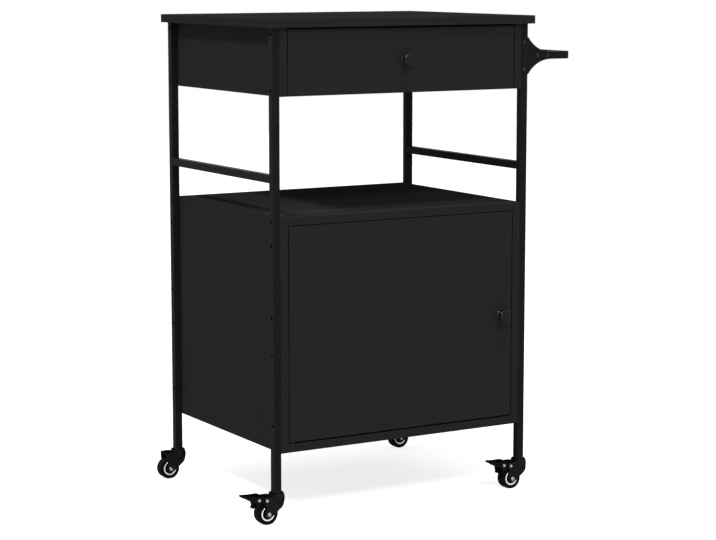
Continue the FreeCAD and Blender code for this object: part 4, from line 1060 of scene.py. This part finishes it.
class STAND_OT_wheels(StandOperator):
    """Turn the tyres, the bright rings and the axles"""
    bl_idname = "stand.wheels"
    bl_label = "Wheels"
    bolt_r = 4.6 * MM    # the axle bolt's head
    shank_r = 3.0 * MM   # and its shank

    def execute(self, context):
        s = context.scene.stand_casters
        tyre = finish("tread_rubber", rubber_finish, s.tyre)
        ring = finish("bright_ring_plate", bright_finish, s.ring, 0.12)
        bolt = finish("bright_bolt_plate", bolt_finish)
        for corner in CORNERS:
            body = "wheel_" + corner
            new_piece("tyre_" + corner, self.tyre("caster_wheel_" + corner, s), tyre, body,
                      ("caster_wheel_" + corner,), 50.0)
            surfaces = [self.ring(box, s) for box in loose_boxes("wheel_rings_" + corner)]
            new_piece("rings_" + corner, join(surfaces), ring, body,
                      ("wheel_rings_" + corner,))
            box = node_box("caster_axle_" + corner)
            new_piece("axle_" + corner, join([self.bolt(box), self.nut(box)]), bolt, "swivel_" + corner,
                      ("caster_axle_" + corner,), 35.0, crown_of([box.middle], self.bolt_r))
        return {"FINISHED"}

    def tyre(self, node, s):
        """A lathe profile from bore to tread and back: hub, dished web with six shallow spokes,
        ring seat, rounded shoulder and a slightly crowned tread with two fine grooves."""
        box = node_box(node)
        radius = box.span[2] / 2 / MM
        hub = box.span[1] / 2 / MM
        half = 10.5
        bore = 3.05
        hub_r = 7.2
        web = half - 3.2
        tread = radius - 0.25
        spoke_count = 6
        spoke_h = 0.5
        right = [(bore, 0), (bore, hub), (hub_r, hub), (hub_r + 0.2, half - 2.2), (9.5, half - 2.2),
                 (9.5, web), (14.7, web), (14.7, half - 0.1), (radius - 2.0, half), (tread, half - 1.2),
                 (radius, half - 3.6), (radius, 3.4), (tread, 3.1), (tread, 2.8), (radius, 2.5),
                 (radius, 0)]
        radii = [0, 0.2, 0.5, 0.5, 0.1, 0.1, 0.1, 0.35, 1.2, 1.6, 1.6, 0.1, 0.1, 0.1, 0.1, 0]
        right = rounded_path(right, radii, 5)
        left = right[::-1] * (1, -1)
        profile = np.concatenate([right, left[1:]]) * MM

        def spokes(r, h, turn):
            band = smooth_step(7.4, 7.8, r / MM) * (1 - smooth_step(9.0, 9.4, r / MM))
            lobe = 0.5 + 0.5 * np.cos(spoke_count * turn)
            return r, h - np.sign(h) * band * lobe * spoke_h * MM
        return turned(profile, box.middle, AXES[1], s.steps, spokes)

    def ring(self, box, s):
        """A half-round ring: its face is a flattened half circle, its back a flat seat."""
        width = 5.0 * MM
        wider = 0.6 * MM
        outward = 1 if box.middle[1] > caster_y(box.middle) else -1
        outer = box.span[2] / 2 + wider
        inner = outer - width
        middle = outer - width / 2
        t = np.linspace(0, math.pi, 19)
        bulge = box.span[1] * (0.3 + 0.7 * np.sin(t) ** 0.9)
        crown = np.stack([middle + width / 2 * np.cos(t), bulge], -1)
        profile = np.concatenate([[(middle, 0), (outer, 0)], crown, [(inner, 0), (middle, 0)]])
        return turned(profile, box.face(1, -outward), outward * AXES[1], s.steps)

    def bolt(self, box):
        """The axle's bolt: a domed head with a six-sided key recess, and a shank with a bevelled end.

        The recess is where r is under key / cos(angle from the middle of a side).
        """
        head = 2.6 * MM
        bevel = 0.4 * MM
        key = 1.9 * MM
        key_depth = 1.5 * MM
        length = box.span[1]
        rest = [(self.shank_r, head), (self.shank_r, length - bevel), (self.shank_r - bevel, length),
                (0, length)]

        def recess(r, h, turn):
            angle = (turn + math.pi / 6) % (math.pi / 3) - math.pi / 6
            inside = 1 - smooth_step(0.92, 1.0, r * np.cos(angle) / key)
            return r, h + inside * (h < head * 0.5) * key_depth
        profile = np.concatenate([dome(self.bolt_r, head, 26), rest])
        return turned(profile, box.face(1, -1), AXES[1], steps=60, shape=recess)

    def nut(self, box):
        """A bored nut near the bolt's end, cut off at side / cos(angle from the middle of a side)."""
        side = 5.0 * MM
        thick = 3.2 * MM
        bevel = 0.5 * MM
        soft = 0.15 * MM
        past_nut = 0.6 * MM
        bore = self.shank_r
        corner = side / math.cos(math.pi / 6)
        profile = rounded_path([(bore, thick / 2), (bore, 0), (side * 0.95, 0), (corner, bevel),
                                (corner, thick - bevel), (side * 0.95, thick), (bore, thick),
                                (bore, thick / 2)], [0, soft, 0, 0, 0, 0, soft, 0], 3)

        def hexagon(r, h, turn):
            angle = turn % (math.pi / 3) - math.pi / 6
            return np.minimum(r, side / np.cos(angle)), h
        return turned(profile, box.face(1, 1, past_nut + thick), AXES[1], steps=72, shape=hexagon)


class STAND_OT_brakes(StandOperator):
    """Mould the brake levers and set their rivets"""
    bl_idname = "stand.brakes"
    bl_label = "Brakes"

    def execute(self, context):
        s = context.scene.stand_casters
        crown_r = 3.4 * MM
        dark = tone(s.plastic, 0.55)
        look = finish("lever_moulding", plastic_finish, dark, 0.4, 0.0007, 0.0, 1)
        bolt = finish("bright_bolt_plate", bolt_finish)
        for corner in BRAKED:
            body = "brake_" + corner
            softened("lever_moulded_" + corner, "brake_lever_" + corner, look, body,
                     s.soften * 0.9)
            boxes = loose_boxes("brake_rivets_" + corner)
            new_piece("rivets_" + corner, join([self.rivet(box) for box in boxes]), bolt, body,
                      ("brake_rivets_" + corner,), 40.0,
                      crown_of([box.middle for box in boxes], crown_r))
        return {"FINISHED"}

    def rivet(self, box):
        """A rivet with two domed heads: a quarter ellipse at each end of a plain shank."""
        shank = 2.0 * MM
        head = 1.3 * MM
        radius = box.span[2] / 2
        near = np.concatenate([dome(radius, head, 12), [(radius, head), (shank, head)]])
        profile = np.concatenate([near, near[::-1] * (1, -1) + (0, box.span[1])])
        return turned(profile, box.face(1, -1), AXES[1], steps=48)


# ---- panel and registration ----
STEPS = (STAND_OT_stage, STAND_OT_boards, STAND_OT_tubes, STAND_OT_knobs, STAND_OT_screws, STAND_OT_cams,
         STAND_OT_runners, STAND_OT_door_fittings, STAND_OT_forks, STAND_OT_wheels, STAND_OT_brakes)
SETTINGS = (("stand_stage", StageSettings), ("stand_boards", BoardSettings), ("stand_steel", SteelSettings),
            ("stand_knobs", KnobSettings), ("stand_casters", CasterSettings))


class STAND_PT_panel(bpy.types.Panel):
    """Sizes, colours and steps of the stand"""
    bl_label = "Stand"
    bl_idname = "STAND_PT_panel"
    bl_space_type = "VIEW_3D"
    bl_region_type = "UI"
    bl_category = "Stand"

    def draw(self, context):
        layout = self.layout
        for name, kind in SETTINGS:
            box = layout.box()
            box.label(text=kind.__doc__)
            group = getattr(context.scene, name)
            for key in kind.__annotations__:
                box.prop(group, key)
        for step in STEPS:
            layout.operator(step.bl_idname)


def register():
    """Add the settings to the scene and register every class."""
    for name, kind in SETTINGS:
        bpy.utils.register_class(kind)
        setattr(bpy.types.Scene, name, PointerProperty(type=kind))
    for step in STEPS + (STAND_PT_panel,):
        bpy.utils.register_class(step)


def unregister():
    """Take away what register() added, in the opposite order."""
    for step in (STAND_PT_panel,) + STEPS[::-1]:
        bpy.utils.unregister_class(step)
    for name, kind in SETTINGS[::-1]:
        delattr(bpy.types.Scene, name)
        bpy.utils.unregister_class(kind)


def main():
    """Register and run every step in order."""
    register()
    for step in STEPS:
        group, name = step.bl_idname.split(".")
        getattr(getattr(bpy.ops, group), name)()


if __name__ == "__main__":
    main()
